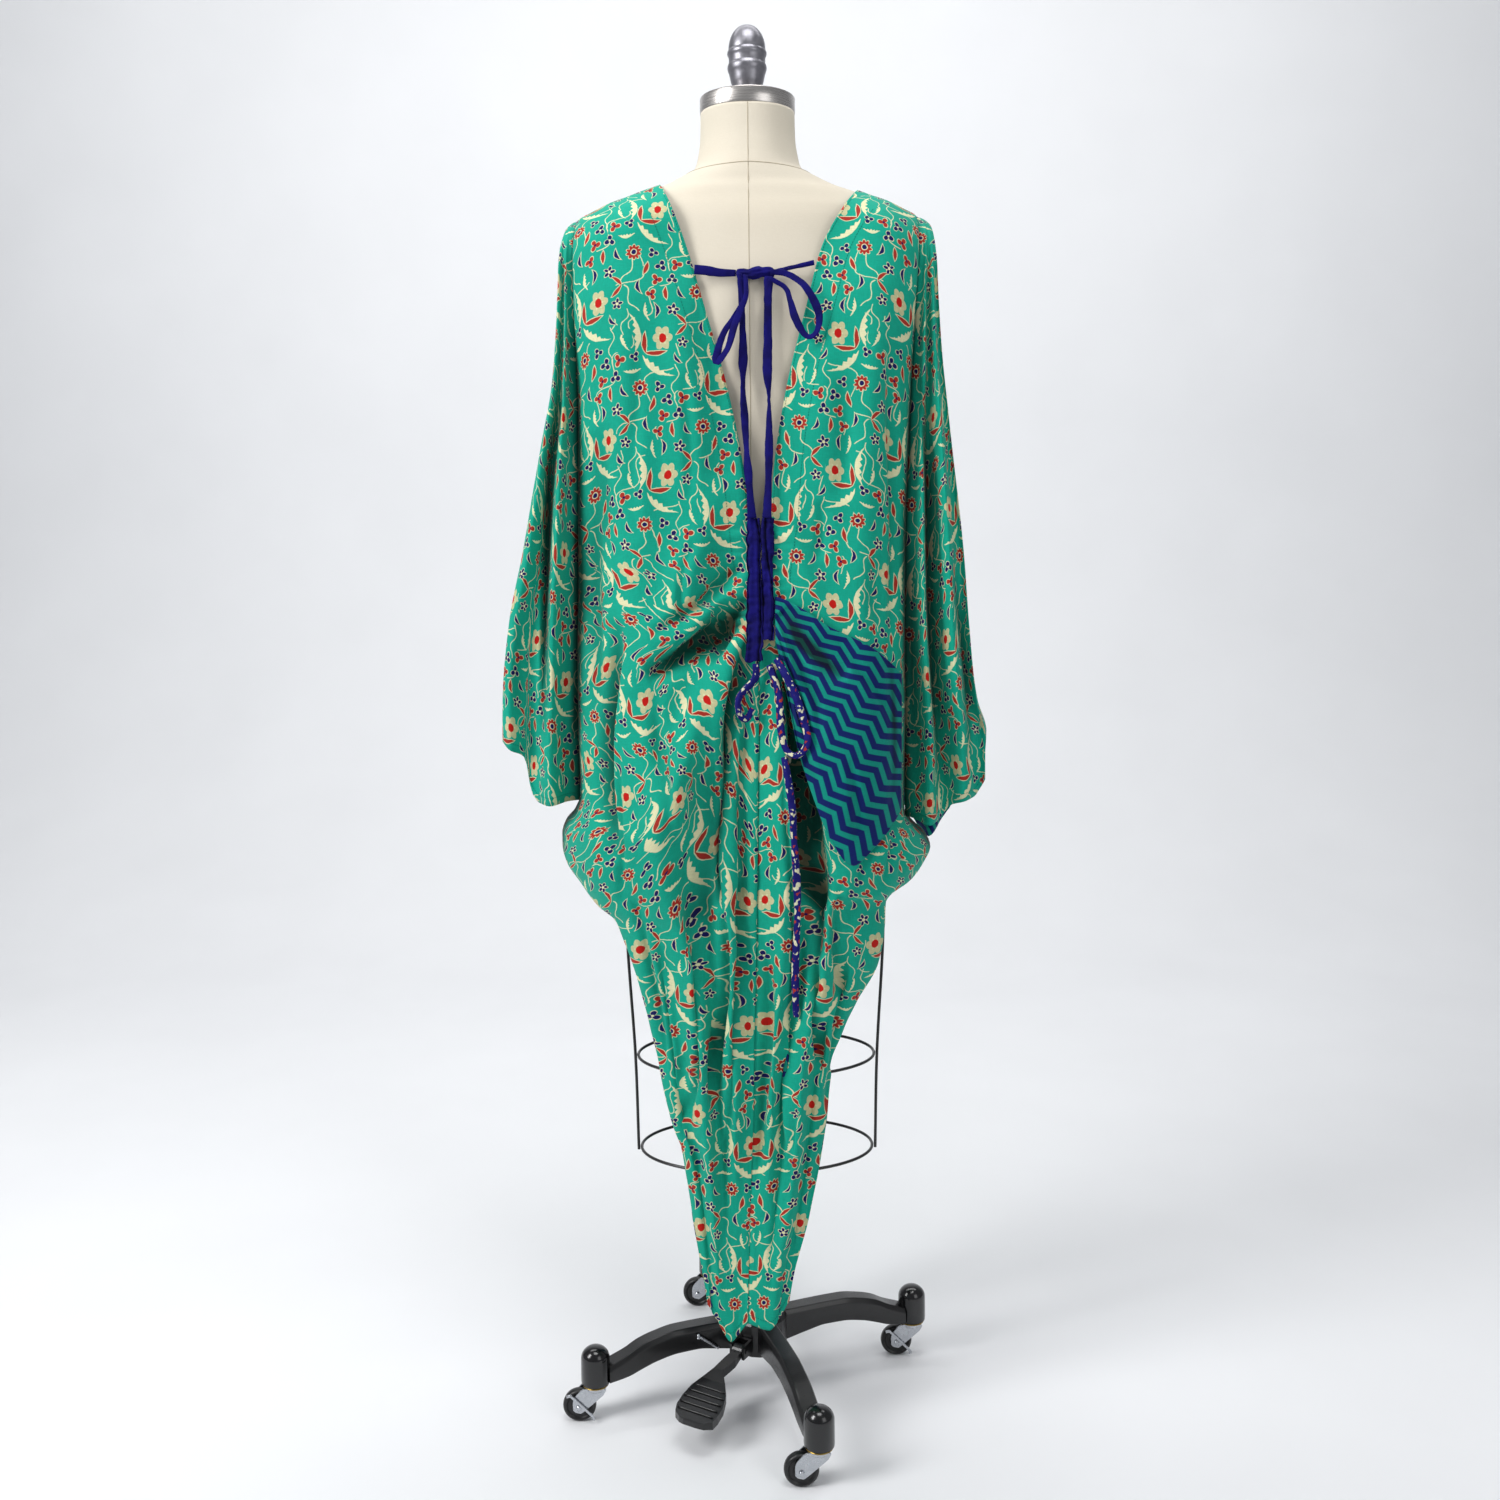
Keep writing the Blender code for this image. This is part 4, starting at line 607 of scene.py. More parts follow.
def outwards(points):
    # unit normals of a grid of points (rows down, columns along)
    down = np.gradient(points, axis=0)
    along = np.gradient(points, axis=1)
    normal = np.cross(down, along)
    return normal / np.maximum(np.linalg.norm(normal, axis=2, keepdims=True), 1e-12)


def betweenRows(rows, spacing):
    fine = [rows[0]]
    for above, below in zip(rows, rows[1:]):
        count = max(1, math.ceil(float(np.max(above - below)) / spacing))
        fine += [above + (below - above) * i / count for i in range(1, count + 1)]
    return np.array(fine)


def clothLengths(points, edgeX=None):
    # metres along the cloth: across from the edge, so that both halves mirror, and down from the shoulder
    across = np.concatenate([np.zeros((len(points), 1)), np.cumsum(
        np.linalg.norm(np.diff(points, axis=1), axis=2), axis=1)], axis=1)
    down = np.concatenate([np.zeros((1, points.shape[1])), np.cumsum(
        np.linalg.norm(np.diff(points, axis=0), axis=2), axis=0)], axis=0)
    across = (0 if edgeX is None else np.abs(edgeX)[:, None]) + across
    return np.stack([-across, points[0, :, 2][None, :] - down], axis=2)


def straightTail(lengths, x, z, column, stretch):
    # the gathers let the tail hang straight, so its print follows x and height from one column
    share = rising(0.78 - z, 0.18)
    share = eased(share)[..., None]
    start = slice(column, column + 1)
    across = (x[:, start] - x) * stretch
    if column == 0:
        across = -np.abs(across)
    plain = np.stack([lengths[:, start, 0] + across, lengths[:, start, 1] + z - z[:, start]], axis=2)
    return lengths * (1 - share) + plain * share


def addCloth(name, points, lengths, piece, depth, outside=1):
    # a grid of points as one cloth shell; outside is 1 where rows down by columns along face out,
    # and depth, in metres, says how deep each point lies in a fold or a shaded seam; it sets the painted
    # shade
    rows, columns = points.shape[:2]
    faces = []
    for r in range(rows - 1):
        for c in range(columns - 1):
            a = r * columns + c
            face = (a, a + columns, a + columns + 1, a + 1)
            faces.append(face if outside > 0 else face[::-1])
    cloth = addPiece(name, points.reshape(-1, 3), faces, piece["finish"],
                     insideFinish=piece["inside"])
    layPrint(cloth, lengths)
    # painted shade: the fold attribute darkens the colour where depth is great, as shade in a fold would
    fold = cloth.data.attributes.new("fold", "FLOAT", "POINT")
    fold.data.foreach_set("value", (0.88 * rising(depth - 0.003, 0.017) ** 1.3).ravel())
    wall = cloth.modifiers.new("cloth thickness", "SOLIDIFY")
    wall.thickness = piece["thick"]
    wall.offset = -1.0
    wall.material_offset = 1
    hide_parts(*piece["stands for"])


greenLawn = {"thick": 0.0008, "finish": lotusLawn, "inside": zigzagReverse, "slot": "green_cotton"}
# Rows of a body panel: drop below the shoulder, level height, share of the level
topRows = tuple((hanging["roll"] * (1 - math.cos(math.radians(degrees))), 1.4, 0.0)
                for degrees in (0, 4, 8, 13, 19, 26, 34, 43, 52, 60))
topRows += ((0.0360, 1.390, 0.0), (0.0620, 1.352, 0.4), (0.0950, 1.318, 0.8))
backLevels = (1.275, 1.225, 1.175, 1.125, 1.075, 1.03, 0.985, 0.945, 0.905, 0.865, 0.825, 0.785, 0.758, 0.737,
              0.718, 0.698, 0.68, 0.66, 0.642, 0.622, 0.59, 0.54, 0.48, 0.41, 0.34, 0.27, 0.200)
frontLevels = (1.26, 1.19, 1.11, 1.03, 0.96, 0.89, 0.82, 0.775, 0.745, 0.72, 0.695, 0.672, 0.64, 0.56, 0.46,
               0.37, 0.28, 0.190)

# Left back with its half of the tail, one piece from the shoulder to the hem.
# Edges: height, outer edge x, outer edge y, inner edge x, inner edge y, crown y.
leftBack = {
    "edges": millimetres("""
        1442 -188 -70 -98.9 -86 -88, 1400 -189 -70 -81 -88 -93, 1360 -190 -72 -66.5 -92 -99,
        1300 -190 -74 -49 -102 -111, 1208 -190 -62 -23.7 -103 -114, 1130 -191.5 -61 -8.5 -103 -112,
        1063 -193 -60 -0.6 -107 -112, 1000 -194 -58 4 -112 -116, 920 -196.5 -56 6 -118 -129,
        850 -198.5 -51 6 -122 -142, 800 -200 -42 5 -126 -150, 765 -200.5 -36 4.2 -129 -152.5,
        745 -208 -30 3.9 -130 -153, 730 -219 -25 3.7 -130.8 -152, 715 -223.5 -23 3.5 -131 -150,
        700 -223.5 -23 3.2 -130.6 -148, 682 -219.5 -26 3 -130 -145, 660 -203 -40 2.5 -127 -141,
        640 -184 -56 2 -125 -137, 623 -160 -77 1.6 -123.5 -135, 608 -153 -83 1.3 -122 -133,
        596 -148.5 -86 1 -121 -131, 552 -133.9 -88 0 -118 -127, 489 -119.3 -90 -2 -115 -122,
        394 -102.8 -92 -4 -111 -118, 352 -89 -94 -6 -109 -115, 248 -71.8 -96 -10 -106 -111,
        166 -60.2 -97 -12.5 -104 -108, 120 -56 -97 -13.5 -103 -107"""),
    "hem": ((0.0, 0.1457), (0.45, 0.1224), (0.75, 0.1424), (1.0, 0.166),),
    # top, bottom, share across at the top and bottom, width, depth towards the back
    "folds": (
        (1.33, 1.08, 0.2, 0.28, 0.12, 0.004), (1.3, 0.9, 0.62, 0.66, 0.12, 0.005),
        (1.12, 0.88, 0.12, 0.7, 0.1, 0.008), (1.05, 0.8, 0.1, 0.52, 0.09, -0.011),
        (0.96, 0.7, 0.1, 0.6, 0.11, 0.012), (0.95, 0.3, 0.13, 0.24, 0.07, 0.011),
        (0.93, 0.25, 0.27, 0.46, 0.06, -0.013), (0.82, 0.18, 0.42, 0.66, 0.09, 0.009),
        (0.7, 0.12, 0.66, 0.84, 0.05, -0.007),
    ),
    # width to the left and right of each crease, depth, then x and height along it
    "creases": creasesOf("""
        6.2 13.6 26.7, 0 985, -26 971, -44 956, -57 942, -74 930, -96 917, -116 907;
        4.9 7.4 10.3, -4 1028, -24 1015, -43 996, -61 980, -87 963, -113 950;
        4.9 6.2 10.3, -9 964, -27 951, -40 934, -51 913;
        9.9 6.2 -8.2, -9 1001, -33 986, -51 971, -70 954, -91 938;
        6.2 9.9 26.7, -1 942, -8 926, -15 894, -22 861, -28 828, -30 795, -35 762, -39 729, -41 690,
        -43 645;
        14.8 14.8 12.3, -50 812, -50 779, -51 735, -56 690, -61 650, -70 611, -73 577;
        3.1 6.2 13.3, 5 921, -1 888, -7 845, -11 801, -13 762, -13 717, -13 678, -16 639, -15 599,
        -18 565, -21 524, -26 478, -30 437, -34 396, -40 355;
        11.1 6.2 20.5, -146 963, -150 928, -156 890, -162 846, -163 808, -162 769, -156 730, -151 700;
        9.9 11.1 12.3, -170 1166, -173 1093, -178 1008, -179 923, -182 835;
        3.1 3.7 6.1, -148 830, -149 780, -148 735, -147 691, -149 651;
        3.7 4.9 6.1, -60 1050, -71 1029, -76 1007, -78 981, -76 949;
        6.2 6.2 4.5, -70 1225, -68 1196, -66 1165, -65 1123, -67 1087;
        3.7 4.9 12.3, -61 611, -63 571, -66 531, -67 490, -73 444, -83 391;
        4.9 4.9 4.5, -82 473, -87 414, -76 367, -65 331;
        4.9 4.9 8.2, -106 588, -100 496, -91 426, -83 355;
        11.1 8.6 5.1, -115 1269, -121 1197, -129 1124, -126 1050;
        7.4 8.6 5.1, -161 1176, -161 1093, -159 1019;
        9.9 7.4 8.2, -106 889, -102 835, -94 768, -86 713;
        4.9 4.9 9.2, -132 657, -123 588, -113 519, -106 450;
        3.7 6.2 14.3, -37 650, -37 599, -40 542, -48 472, -51 414"""),
    "tailCrumple": 0.0009, "ruches": (1.075, 0.93, 0.0030),
    "flat": (0.34, 1.42), "area": 0.30, **greenLawn,
    "stands for": ("back_left",), "held": "draped", "rests on": ("torso",),
}
rightBack = {
    "edges": millimetres("""
        1442 186 -70 129 -86 -88, 1400 185 -70 100 -88 -93, 1360 184 -72 78 -92 -99,
        1300 180 -74 61.5 -102 -111, 1208 175.5 -64 38 -103 -114, 1130 172.5 -65 25 -103 -112,
        1063 170.5 -64 19.5 -107 -112, 1000 170 -62 11 -112 -116, 920 170.5 -59 7.5 -118 -129,
        850 172.5 -53 7.5 -122 -140, 800 173 -45 6.5 -126 -146, 760 173.2 -40 5.6 -129 -148,
        740 174.5 -36 5.3 -130.5 -147.5, 725 185 -30 5.1 -131 -146.5, 710 199 -24 4.8 -130.8 -145.5,
        695 205 -23 4.5 -130 -143, 681 198.5 -27 4.1 -128.5 -140.5, 662 182.5 -42 4 -127 -137,
        650 156 -68 3.8 -126 -135.5, 642 147.5 -80 3.5 -125 -134.5, 613 145.4 -85 3 -122 -131,
        575 138.7 -87 2 -119 -128, 501 105 -90 -0.5 -115 -122, 434 86.7 -92 -2 -112 -119,
        373.5 77.5 -93 -4 -110 -116, 277.3 59.9 -95 -8 -107 -112, 204.3 41.1 -97 -10 -105 -109,
        120 28 -97 -12 -103 -107"""),
    "hem": ((0.0, 0.145), (0.55, 0.1381), (0.8, 0.1528), (1.0, 0.1725),),
    "folds": (
        (1.33, 1.08, 0.24, 0.3, 0.12, 0.004), (1.28, 0.86, 0.66, 0.7, 0.12, 0.005),
        (1.08, 0.94, 0.12, 0.46, 0.1, 0.007), (0.96, 0.28, 0.14, 0.22, 0.08, 0.011),
        (0.9, 0.22, 0.28, 0.42, 0.06, -0.011), (0.8, 0.15, 0.48, 0.64, 0.09, 0.008),
        (0.7, 0.14, 0.68, 0.82, 0.05, -0.006),
    ),
    "creases": creasesOf("""
        3.1 3.1 -6.1, 33 524, 33 472, 34 425, 35 378, 40 342;
        3.7 6.2 14.3, 63 615, 64 552, 68 518, 71 477, 73 448;
        7.4 13.6 26.7, 45 850, 50 800, 53 756, 57 717, 61 677, 64 638, 69 587;
        3.7 3.7 8.2, 30 828, 32 767, 37 711, 42 655, 46 610;
        7.4 7.4 6.1, 137 1027, 135 984, 143 941;
        6.2 6.2 5.1, 75 1091, 77 1059, 73 1027;
        6.2 6.2 8.2, 150 1256, 151 1194, 155 1121, 158 1048, 156 984, 154 919;
        3.7 3.7 6.1, 114 677, 118 697, 127 715, 140 730;
        3.7 3.7 6.1, 142 672, 147 690, 152 710, 158 726;
        3.7 3.7 5.1, 162 676, 166 694, 169 712;
        6.2 4.9 10.3, 94 677, 92 609, 96 552, 91 471, 78 401;
        4.9 4.9 9.2, 14 599, 13 530, 8 460, 3 390, -2 307;
        4.9 4.9 5.1, 49 495, 46 425, 37 354, 30 283;
        9.9 9.9 5.1, 100 1215, 103 1153, 97 1091;
        7.4 7.4 18.4, 31 942, 36 915, 40 882, 43 850, 46 817, 49 789"""),
    "tailCrumple": 0.0009, "ruches": (1.075, 0.95, 0.0026),
    "flat": (0.34, 1.42), "area": 0.28, **greenLawn,
    "stands for": ("back_right",), "held": "draped", "rests on": ("torso",),
}


def panelRows(u, xAt, topAt, tries, levels, hem, tail, spacing):
    # heights of a panel's rows: the first follow its top edge, the last its hem, from the height tail down
    rows = []
    for drop, level, share in topRows:
        z = np.full(len(u), level)
        for _ in range(tries):
            z = (topAt(xAt(z)) - drop) * (1 - share) + level * share
        rows.append(z)
    rows += [level + (hem - 0.146) * max(0.0, (tail - level) / tail) * 1.2 for level in levels]
    return betweenRows(rows + [hem], spacing)


def backDepth(panel, u, z):
    # middle of the cloth, to the back, at share u from the centre edge and height z
    outX, outY, inX, inY, crown = panel["lines"]
    blend = np.clip(u / 0.45, 0, 1)
    blend = eased(blend)
    turn = rising(u - 0.45, 0.55)
    inner = inY(z) + (crown(z) - inY(z)) * blend
    outer = outY(z) + (crown(z) - outY(z)) * (1 - turn ** 2.2) ** 0.6
    x = inX(z) + (outX(z) - inX(z)) * u
    y = np.where(u < 0.45, inner, outer)
    y = y - foldDepth(panel["folds"], u, z) * np.minimum(1, (1 - u) * 8)
    return x, np.minimum(y * rolledOver(shoulderAt(x) - z), -formClear(x, z, -1))


def backAt(panel, x, z):
    # y of the middle of the cloth at x and height z
    inX, outX = panel["lines"][2](z), panel["lines"][0](z)
    return backDepth(panel, np.clip((x - inX) / (outX - inX), 0.002, 0.998), z)[1]


def hangBack(name, panel):
    panel["lines"] = linesOf(panel["edges"])
    outX, _, inX = panel["lines"][:3]
    across = np.linspace(0, 1, 85)
    u = 1 - (1 - across) ** 1.35
    hem = lineThrough(*zip(*panel["hem"]))(u)
    z = panelRows(u, lambda z: inX(z) + (outX(z) - inX(z)) * u, shoulderAt, 6, backLevels, hem, 0.420, 0.0042)
    u = np.broadcast_to(u, z.shape)
    x, y = backDepth(panel, u, z)
    # below the casing the right half laps under the left
    tuck = np.exp(-u / 0.022) * rising(0.96 - z, 0.05) * (panel["facing"] > 0)
    points = np.stack([x - 0.0046 * tuck, y + 0.0024 * tuck, z], axis=2)
    creases = creaseDepth(panel["creases"], x, z)
    relief = creases.copy()
    tail = rising(0.66 - z, 0.10)
    relief += panel["tailCrumple"] * tail * unevenness(x, z, 0.008, 0.060, 3)
    relief += 0.0016 * tail * unevenness(x, z, 0.020, 0.150, 4)
    relief += 0.0028 * unevenness(x, z, 0.034, 0.240, 5) * rising(1.40 - z, 0.10)
    # ruches where the casing gathers the centre back
    high, low, depth = panel["ruches"]
    held = rising(high - z, 0.01) * rising(z - low, 0.03)
    beside = np.abs(x - inX(z))
    slope = 0.35 * beside * np.clip((z - 1.0) / 0.05, -1, 1)
    ruche = np.sin(2 * np.pi * ((z + slope) / 0.0135 + 0.55 * unevenness(x, z, 0.05, 0.03, 6)))
    relief += depth * held * ruche * np.exp(-beside / 0.020) * np.clip(beside / 0.004, 0, 1)
    # the relief eases off towards the centre edge, and nothing sinks into the form
    points -= outwards(points) * panel["facing"] * (relief * np.clip(u * 14, 0.15, 1))[..., None]
    limit = np.where(z < 0.95, formReach(x, z, -1) + 0.0016, formReach(points[..., 0], z, -1) + 0.0016)
    limit = np.where(shoulderAt(x) - z > 0.03, limit, 0)
    points[..., 1] = np.minimum(points[..., 1], -np.where(z > 0.7150, limit, 0))
    lengths = straightTail(clothLengths(points, inX(z[:, 0])), x, z, 0, 1.10)
    outside = 1 if panel["facing"] > 0 else -1
    # painted shade: darkens the creases, the edge beside the sleeve, the casing's gathers and the centre lap
    paintedEdgeShade = 0.024 * np.exp(-((1 - u) / 0.030) ** 2) * rising(1.36 - z, 0.2) * rising(z - 0.66, 0.05)
    gathers = 0.016 * held * np.clip(ruche, 0, 1) * np.exp(-beside / 0.020)
    paintedLapShade = 0.024 * np.exp(-(u / 0.012) ** 2) * rising(0.93 - z, 0.03) * (panel["facing"] > 0)
    depth = np.maximum(creases, 0) + paintedEdgeShade + gathers + paintedLapShade
    addCloth(name, points, lengths, panel, depth, outside)
    return points


leftBack["facing"] = -1
rightBack["facing"] = 1
leftPoints = hangBack("kaftan_back_left", leftBack)
rightPoints = hangBack("kaftan_back_right", rightBack)
print("both backs hung")

# Front with its tail, on the side away from the camera.
# Edges: height, left x, left y, right x, right y, crown y.
front = {
    "edges": millimetres("""
        1442 -188 42 186 42 70, 1360 -190 43 184 43 90, 1300 -190 48 180 48 114,
        1230 -190 50 176.5 50 133, 1130 -191.5 50 172.5 50 130, 1000 -194 45 170 45 124,
        900 -197 35 170.8 35 130, 820 -198.5 18 172.8 18 140, 780 -199 0 173.2 2 142,
        760 -200 -22 173.6 -22 142, 745 -206.5 -25 174.5 -31 141, 730 -217.5 -20 180 -27 140,
        710 -222.5 -18 196.5 -20 137, 695 -221.5 -18 203.5 -18 134, 680 -217.5 -19 197 -19 130,
        660 -199 -20 178 -15 125, 640 -170 30 143 50 121, 552 -126 86 125 86 115, 434 -106 92 80 93 112,
        320 -80 96 64 96 109, 130 -54 98 26 98 105"""),
    "hem": ((-1.0, 0.17), (-0.5, 0.14), (0.0, 0.148), (0.5, 0.143), (1.0, 0.172),),
    "folds": (
        (1.24, 0.7, -0.55, -0.5, 0.1, 0.008), (1.26, 0.6, 0.5, 0.46, 0.1, 0.008),
        (1.15, 0.3, -0.28, -0.34, 0.08, -0.006), (1.18, 0.2, 0.2, 0.24, 0.09, -0.007),
        (0.96, 0.16, -0.04, -0.06, 0.09, 0.009),
    ),
    "creases": creasesOf("""
        10 8 7, -120 1180, -110 1060, -118 930, -108 800;
        8 10 6, -52 1130, -60 1000, -55 860, -68 720, -60 560;
        7 9 6.5, 10 1050, 4 900, 12 740, 6 560, -4 400;
        9 10 7, 85 1160, 76 1030, 88 890, 78 760;
        7 7 4.5, 130 1060, 126 940, 134 820;
        7 7 4, -150 1000, -148 900, -156 790;
        6 7 4.5, 50 900, 44 760, 52 620, 40 440, 20 300;
        5 6 3.5, -85 620, -75 500, -55 360, -45 240;
        10 8 3, -70 1360, -40 1330, 10 1318, 55 1332, 90 1362"""),
    "flat": (0.66, 1.36), "area": 0.62, **greenLawn,
    "stands for": ("front",), "held": "draped", "rests on": ("torso",),
}
neckPoints = (-0.0989, 0.1277)


def necklineAt(x):
    share = (x - neckPoints[0]) / (neckPoints[1] - neckPoints[0])
    seams = shoulderAt(np.array(neckPoints))
    scoop = seams[0] + (seams[1] - seams[0]) * share - 0.052 * np.clip(4 * share * (1 - share), 0, 1) ** 1.2
    return np.where((share > 0) & (share < 1), scoop, shoulderAt(x))


def hangFront():
    leftX, leftY, rightX, rightY, crown = linesOf(front["edges"])
    across = np.linspace(-1, 1, 171)
    u = np.sign(across) * (1 - (1 - np.abs(across)) ** 1.35)
    hem = lineThrough(*zip(*front["hem"]))(u)

    def acrossAt(z, u):
        return leftX(z) + (rightX(z) - leftX(z)) * (u + 1) / 2

    z = panelRows(u, lambda z: acrossAt(z, u), necklineAt, 8, frontLevels, hem, 0.460, 0.0048)
    u = np.broadcast_to(u, z.shape)
    x = acrossAt(z, u)
    edge = np.where(u < 0, leftY(z), rightY(z))
    y = edge + (crown(z) - edge) * np.sqrt(1 - np.abs(u) ** 2.4)
    y = y + foldDepth(front["folds"], u, z) * np.minimum(1, (1 - np.abs(u)) * 8)
    y = y * rolledOver(shoulderAt(x) - z)
    against = (z > 0.950) | ((z > 0.7106) & (np.abs(u) < 0.99))
    y = np.where(against, np.maximum(y, formClear(x, z, 1)), y)
    points = np.stack([x, y, z], axis=2)
    creases = creaseDepth(front["creases"], x, z)
    relief = creases + 0.0012 * unevenness(x, z, 0.05, 0.12, 8)
    tail = rising(0.62 - z, 0.10)
    relief += 0.0012 * tail * unevenness(x, z, 0.012, 0.080, 9)
    points += outwards(points) * (relief * np.clip((1 - np.abs(u)) * 10, 0, 1))[..., None]
    limit = np.where((z > 0.7150) & (shoulderAt(x) - z > 0.03), formReach(x, z, 1) + 0.0016, -1)
    points[..., 1] = np.where(limit > 0, np.maximum(points[..., 1], limit), points[..., 1])
    lengths = clothLengths(points)
    lengths[..., 0] -= lengths[:, 85:86, 0]
    lengths = straightTail(lengths, x, z, 85, 1.06)
    addCloth("kaftan_front", points, lengths, front, np.maximum(creases, 0), -1)
    return points


frontPoints = hangFront()
print("front hung")

# Batwing sleeves, each a pleated bag.
# Edges: height, groove x, outer x, groove y at the back and the front, half depth, depth of the pleats.
# Cuff: share from the groove to the outer fold, height of the open end at the back and at the front.
leftSleeve = {
    "edges": millimetres("""
        1396 -193.5 -202 -70 45 70 0, 1362.1 -194 -206.8 -72 46.5 74 5, 1313.7 -194 -209.5 -74 48 80 10,
        1220.2 -194 -219.5 -63 51 88 20, 1161 -194.8 -233 -62.5 51.5 92 24,
        1106.6 -195.5 -245.5 -62 52 94 26, 1041.7 -197 -260 -61 51 95 29,
        960.3 -199.5 -280.7 -59 48 93 31, 875.6 -202 -292 -57 45 88 32, 820 -204 -294 -56 44 84 32,
        720 -205 -294 -55 43 80 32"""),
    "cuff": ((0.0, 0.757, 0.745), (0.2, 0.755, 0.74), (0.3, 0.7545, 0.743), (0.45, 0.7556, 0.7556),
             (0.56, 0.768, 0.78), (0.62, 0.807, 0.79), (0.8, 0.819, 0.812), (1.0, 0.839, 0.839),),
    "pleats": ((0.28, 0.17), (0.8, 0.16)),
    "creases": creasesOf("""
        3.7 7.4 22.5, -206 1216, -218 1158, -224 1116, -228 1052, -232 965, -236 877, -240 827;
        3.7 4.9 16.4, -195 1073, -195 986, -198 899, -204 827;
        7.4 7.4 8.2, -258 987, -264 921, -267 844"""),
    "turned": 1, "flat": (0.46, 0.70), "area": 0.22, **greenLawn,
    "stands for": ("sleeve_left",), "held": "hung", "rests on": ("kaftan_back_left", "kaftan_front"),
}
rightSleeve = {
    "edges": millimetres("""
        1396 190.5 202 -70 45 70 0, 1360.8 188 204.5 -72 46.5 74 5, 1329 186 206 -74 48 79 10,
        1254.3 182.5 212.5 -68 51 86 20, 1178.6 179 222.5 -66 52 93 26, 1033.5 174.8 242.8 -65 51 95 30,
        955.2 175 250.5 -63 48 94 32, 864.2 176.7 262.9 -59 45 89 33, 828.1 177.2 273.8 -57 44 86 33,
        690 179.5 274.5 -56 43 80 33"""),
    "cuff": ((0.0, 0.735, 0.74), (0.2, 0.728, 0.708), (0.36, 0.733, 0.69), (0.5, 0.75, 0.705),
             (0.66, 0.756, 0.722), (0.76, 0.7575, 0.76), (0.88, 0.776, 0.795), (1.0, 0.8245, 0.8245),),
    "pleats": ((0.2, 0.13), (0.62, 0.14), (0.96, 0.09)),
    "creases": creasesOf("""
        3.7 8.6 24.6, 187 1226, 189 1176, 193 1112, 195 1026, 198 950, 204 873, 210 806, 214 761;
        4.9 4.9 18.4, 222 1026, 231 961, 240 895, 244 839, 244 789;
        4.9 4.9 10.3, 177 1048, 180 939, 184 851, 187 772"""),
    "turned": -1, "flat": (0.46, 0.70), "area": 0.24, **greenLawn,
    "stands for": ("sleeve_right",), "held": "hung", "rests on": ("kaftan_back_right", "kaftan_front"),
}


def hangSleeve(name, sleeve):
    grooveX, outerX, backY, frontY, half, pleat = linesOf(sleeve["edges"])
    top = sleeve["edges"][0][0]
    side = np.concatenate([-np.ones(46), [1.0], np.ones(46)])
    share = np.sin(np.linspace(0, 1, 47) * np.pi / 2)
    share = np.concatenate([share[:-1], share[::-1]])
    keys = [row[0] for row in sleeve["cuff"]]
    low = np.where(side < 0, lineThrough(keys, [row[1] for row in sleeve["cuff"]])(share),
                   lineThrough(keys, [row[2] for row in sleeve["cuff"]])(share))
    rows = []
    for v in np.linspace(0, 1, 96) ** 1.3:
        z = np.full(len(share), top)
        for _ in range(6):
            x = grooveX(z) + (outerX(z) - grooveX(z)) * share
            z = shoulderAt(x) + (low - shoulderAt(x)) * v
        rows.append(z)
    z = np.array(rows)
    share, side = np.broadcast_to(share, z.shape), np.broadcast_to(side, z.shape)
    x = grooveX(z) + (outerX(z) - grooveX(z)) * share
    swell = np.sin(np.pi * np.minimum(share / 0.30, 1) / 2)
    close = np.sqrt(np.maximum(1 - share ** 2.6, 0))
    wave = sum(np.exp(-((share - middle) / width) ** 2) for middle, width in sleeve["pleats"])
    body = np.where(side < 0, backY(z), -frontY(z))
    y = body + (-half(z) - body) * swell * close + pleat(z) * (1 - wave) * swell * close
    y = -side * y * np.where(share > 0.9, close, 1) * rolledOver(shoulderAt(x) - z)
    clear = np.where(side < 0, formClear(x, z, -1), formClear(x, z, 1))
    y = np.where(share < 0.9999, side * np.maximum(np.maximum(np.abs(y), 0.0016), clear), 0.0)
    # the edge beside the body tucks in behind the body's own edge
    tuck = np.exp(-share / 0.035)
    x = x + sleeve["turned"] * 0.0055 * tuck
    y = y - np.sign(y) * 0.0035 * tuck
    points = np.stack([x, y, z], axis=2)
    creases = creaseDepth(sleeve["creases"], x, z)
    relief = creases + 0.0022 * unevenness(x + y, z, 0.030, 0.16, 12)
    relief *= np.clip(1.25 - share, 0.1, 1) * np.clip(share * 7, 0.2, 1) * rising(shoulderAt(x) - z, 0.05)
    points[..., 1] -= side * relief
    lengths = clothLengths(points, grooveX(z[:, 0]))
    # painted shade: darkens the creases and the edge beside the body, where the groove lies in shade
    depth = np.maximum(creases, 0) + 0.026 * np.exp(-share / 0.06) * rising(1.36 - z, 0.2)
    addCloth(name, points, lengths, sleeve, depth, -sleeve["turned"])
    return points


leftSleevePoints = hangSleeve("kaftan_sleeve_left", leftSleeve)
rightSleevePoints = hangSleeve("kaftan_sleeve_right", rightSleeve)
print("sleeves hung")

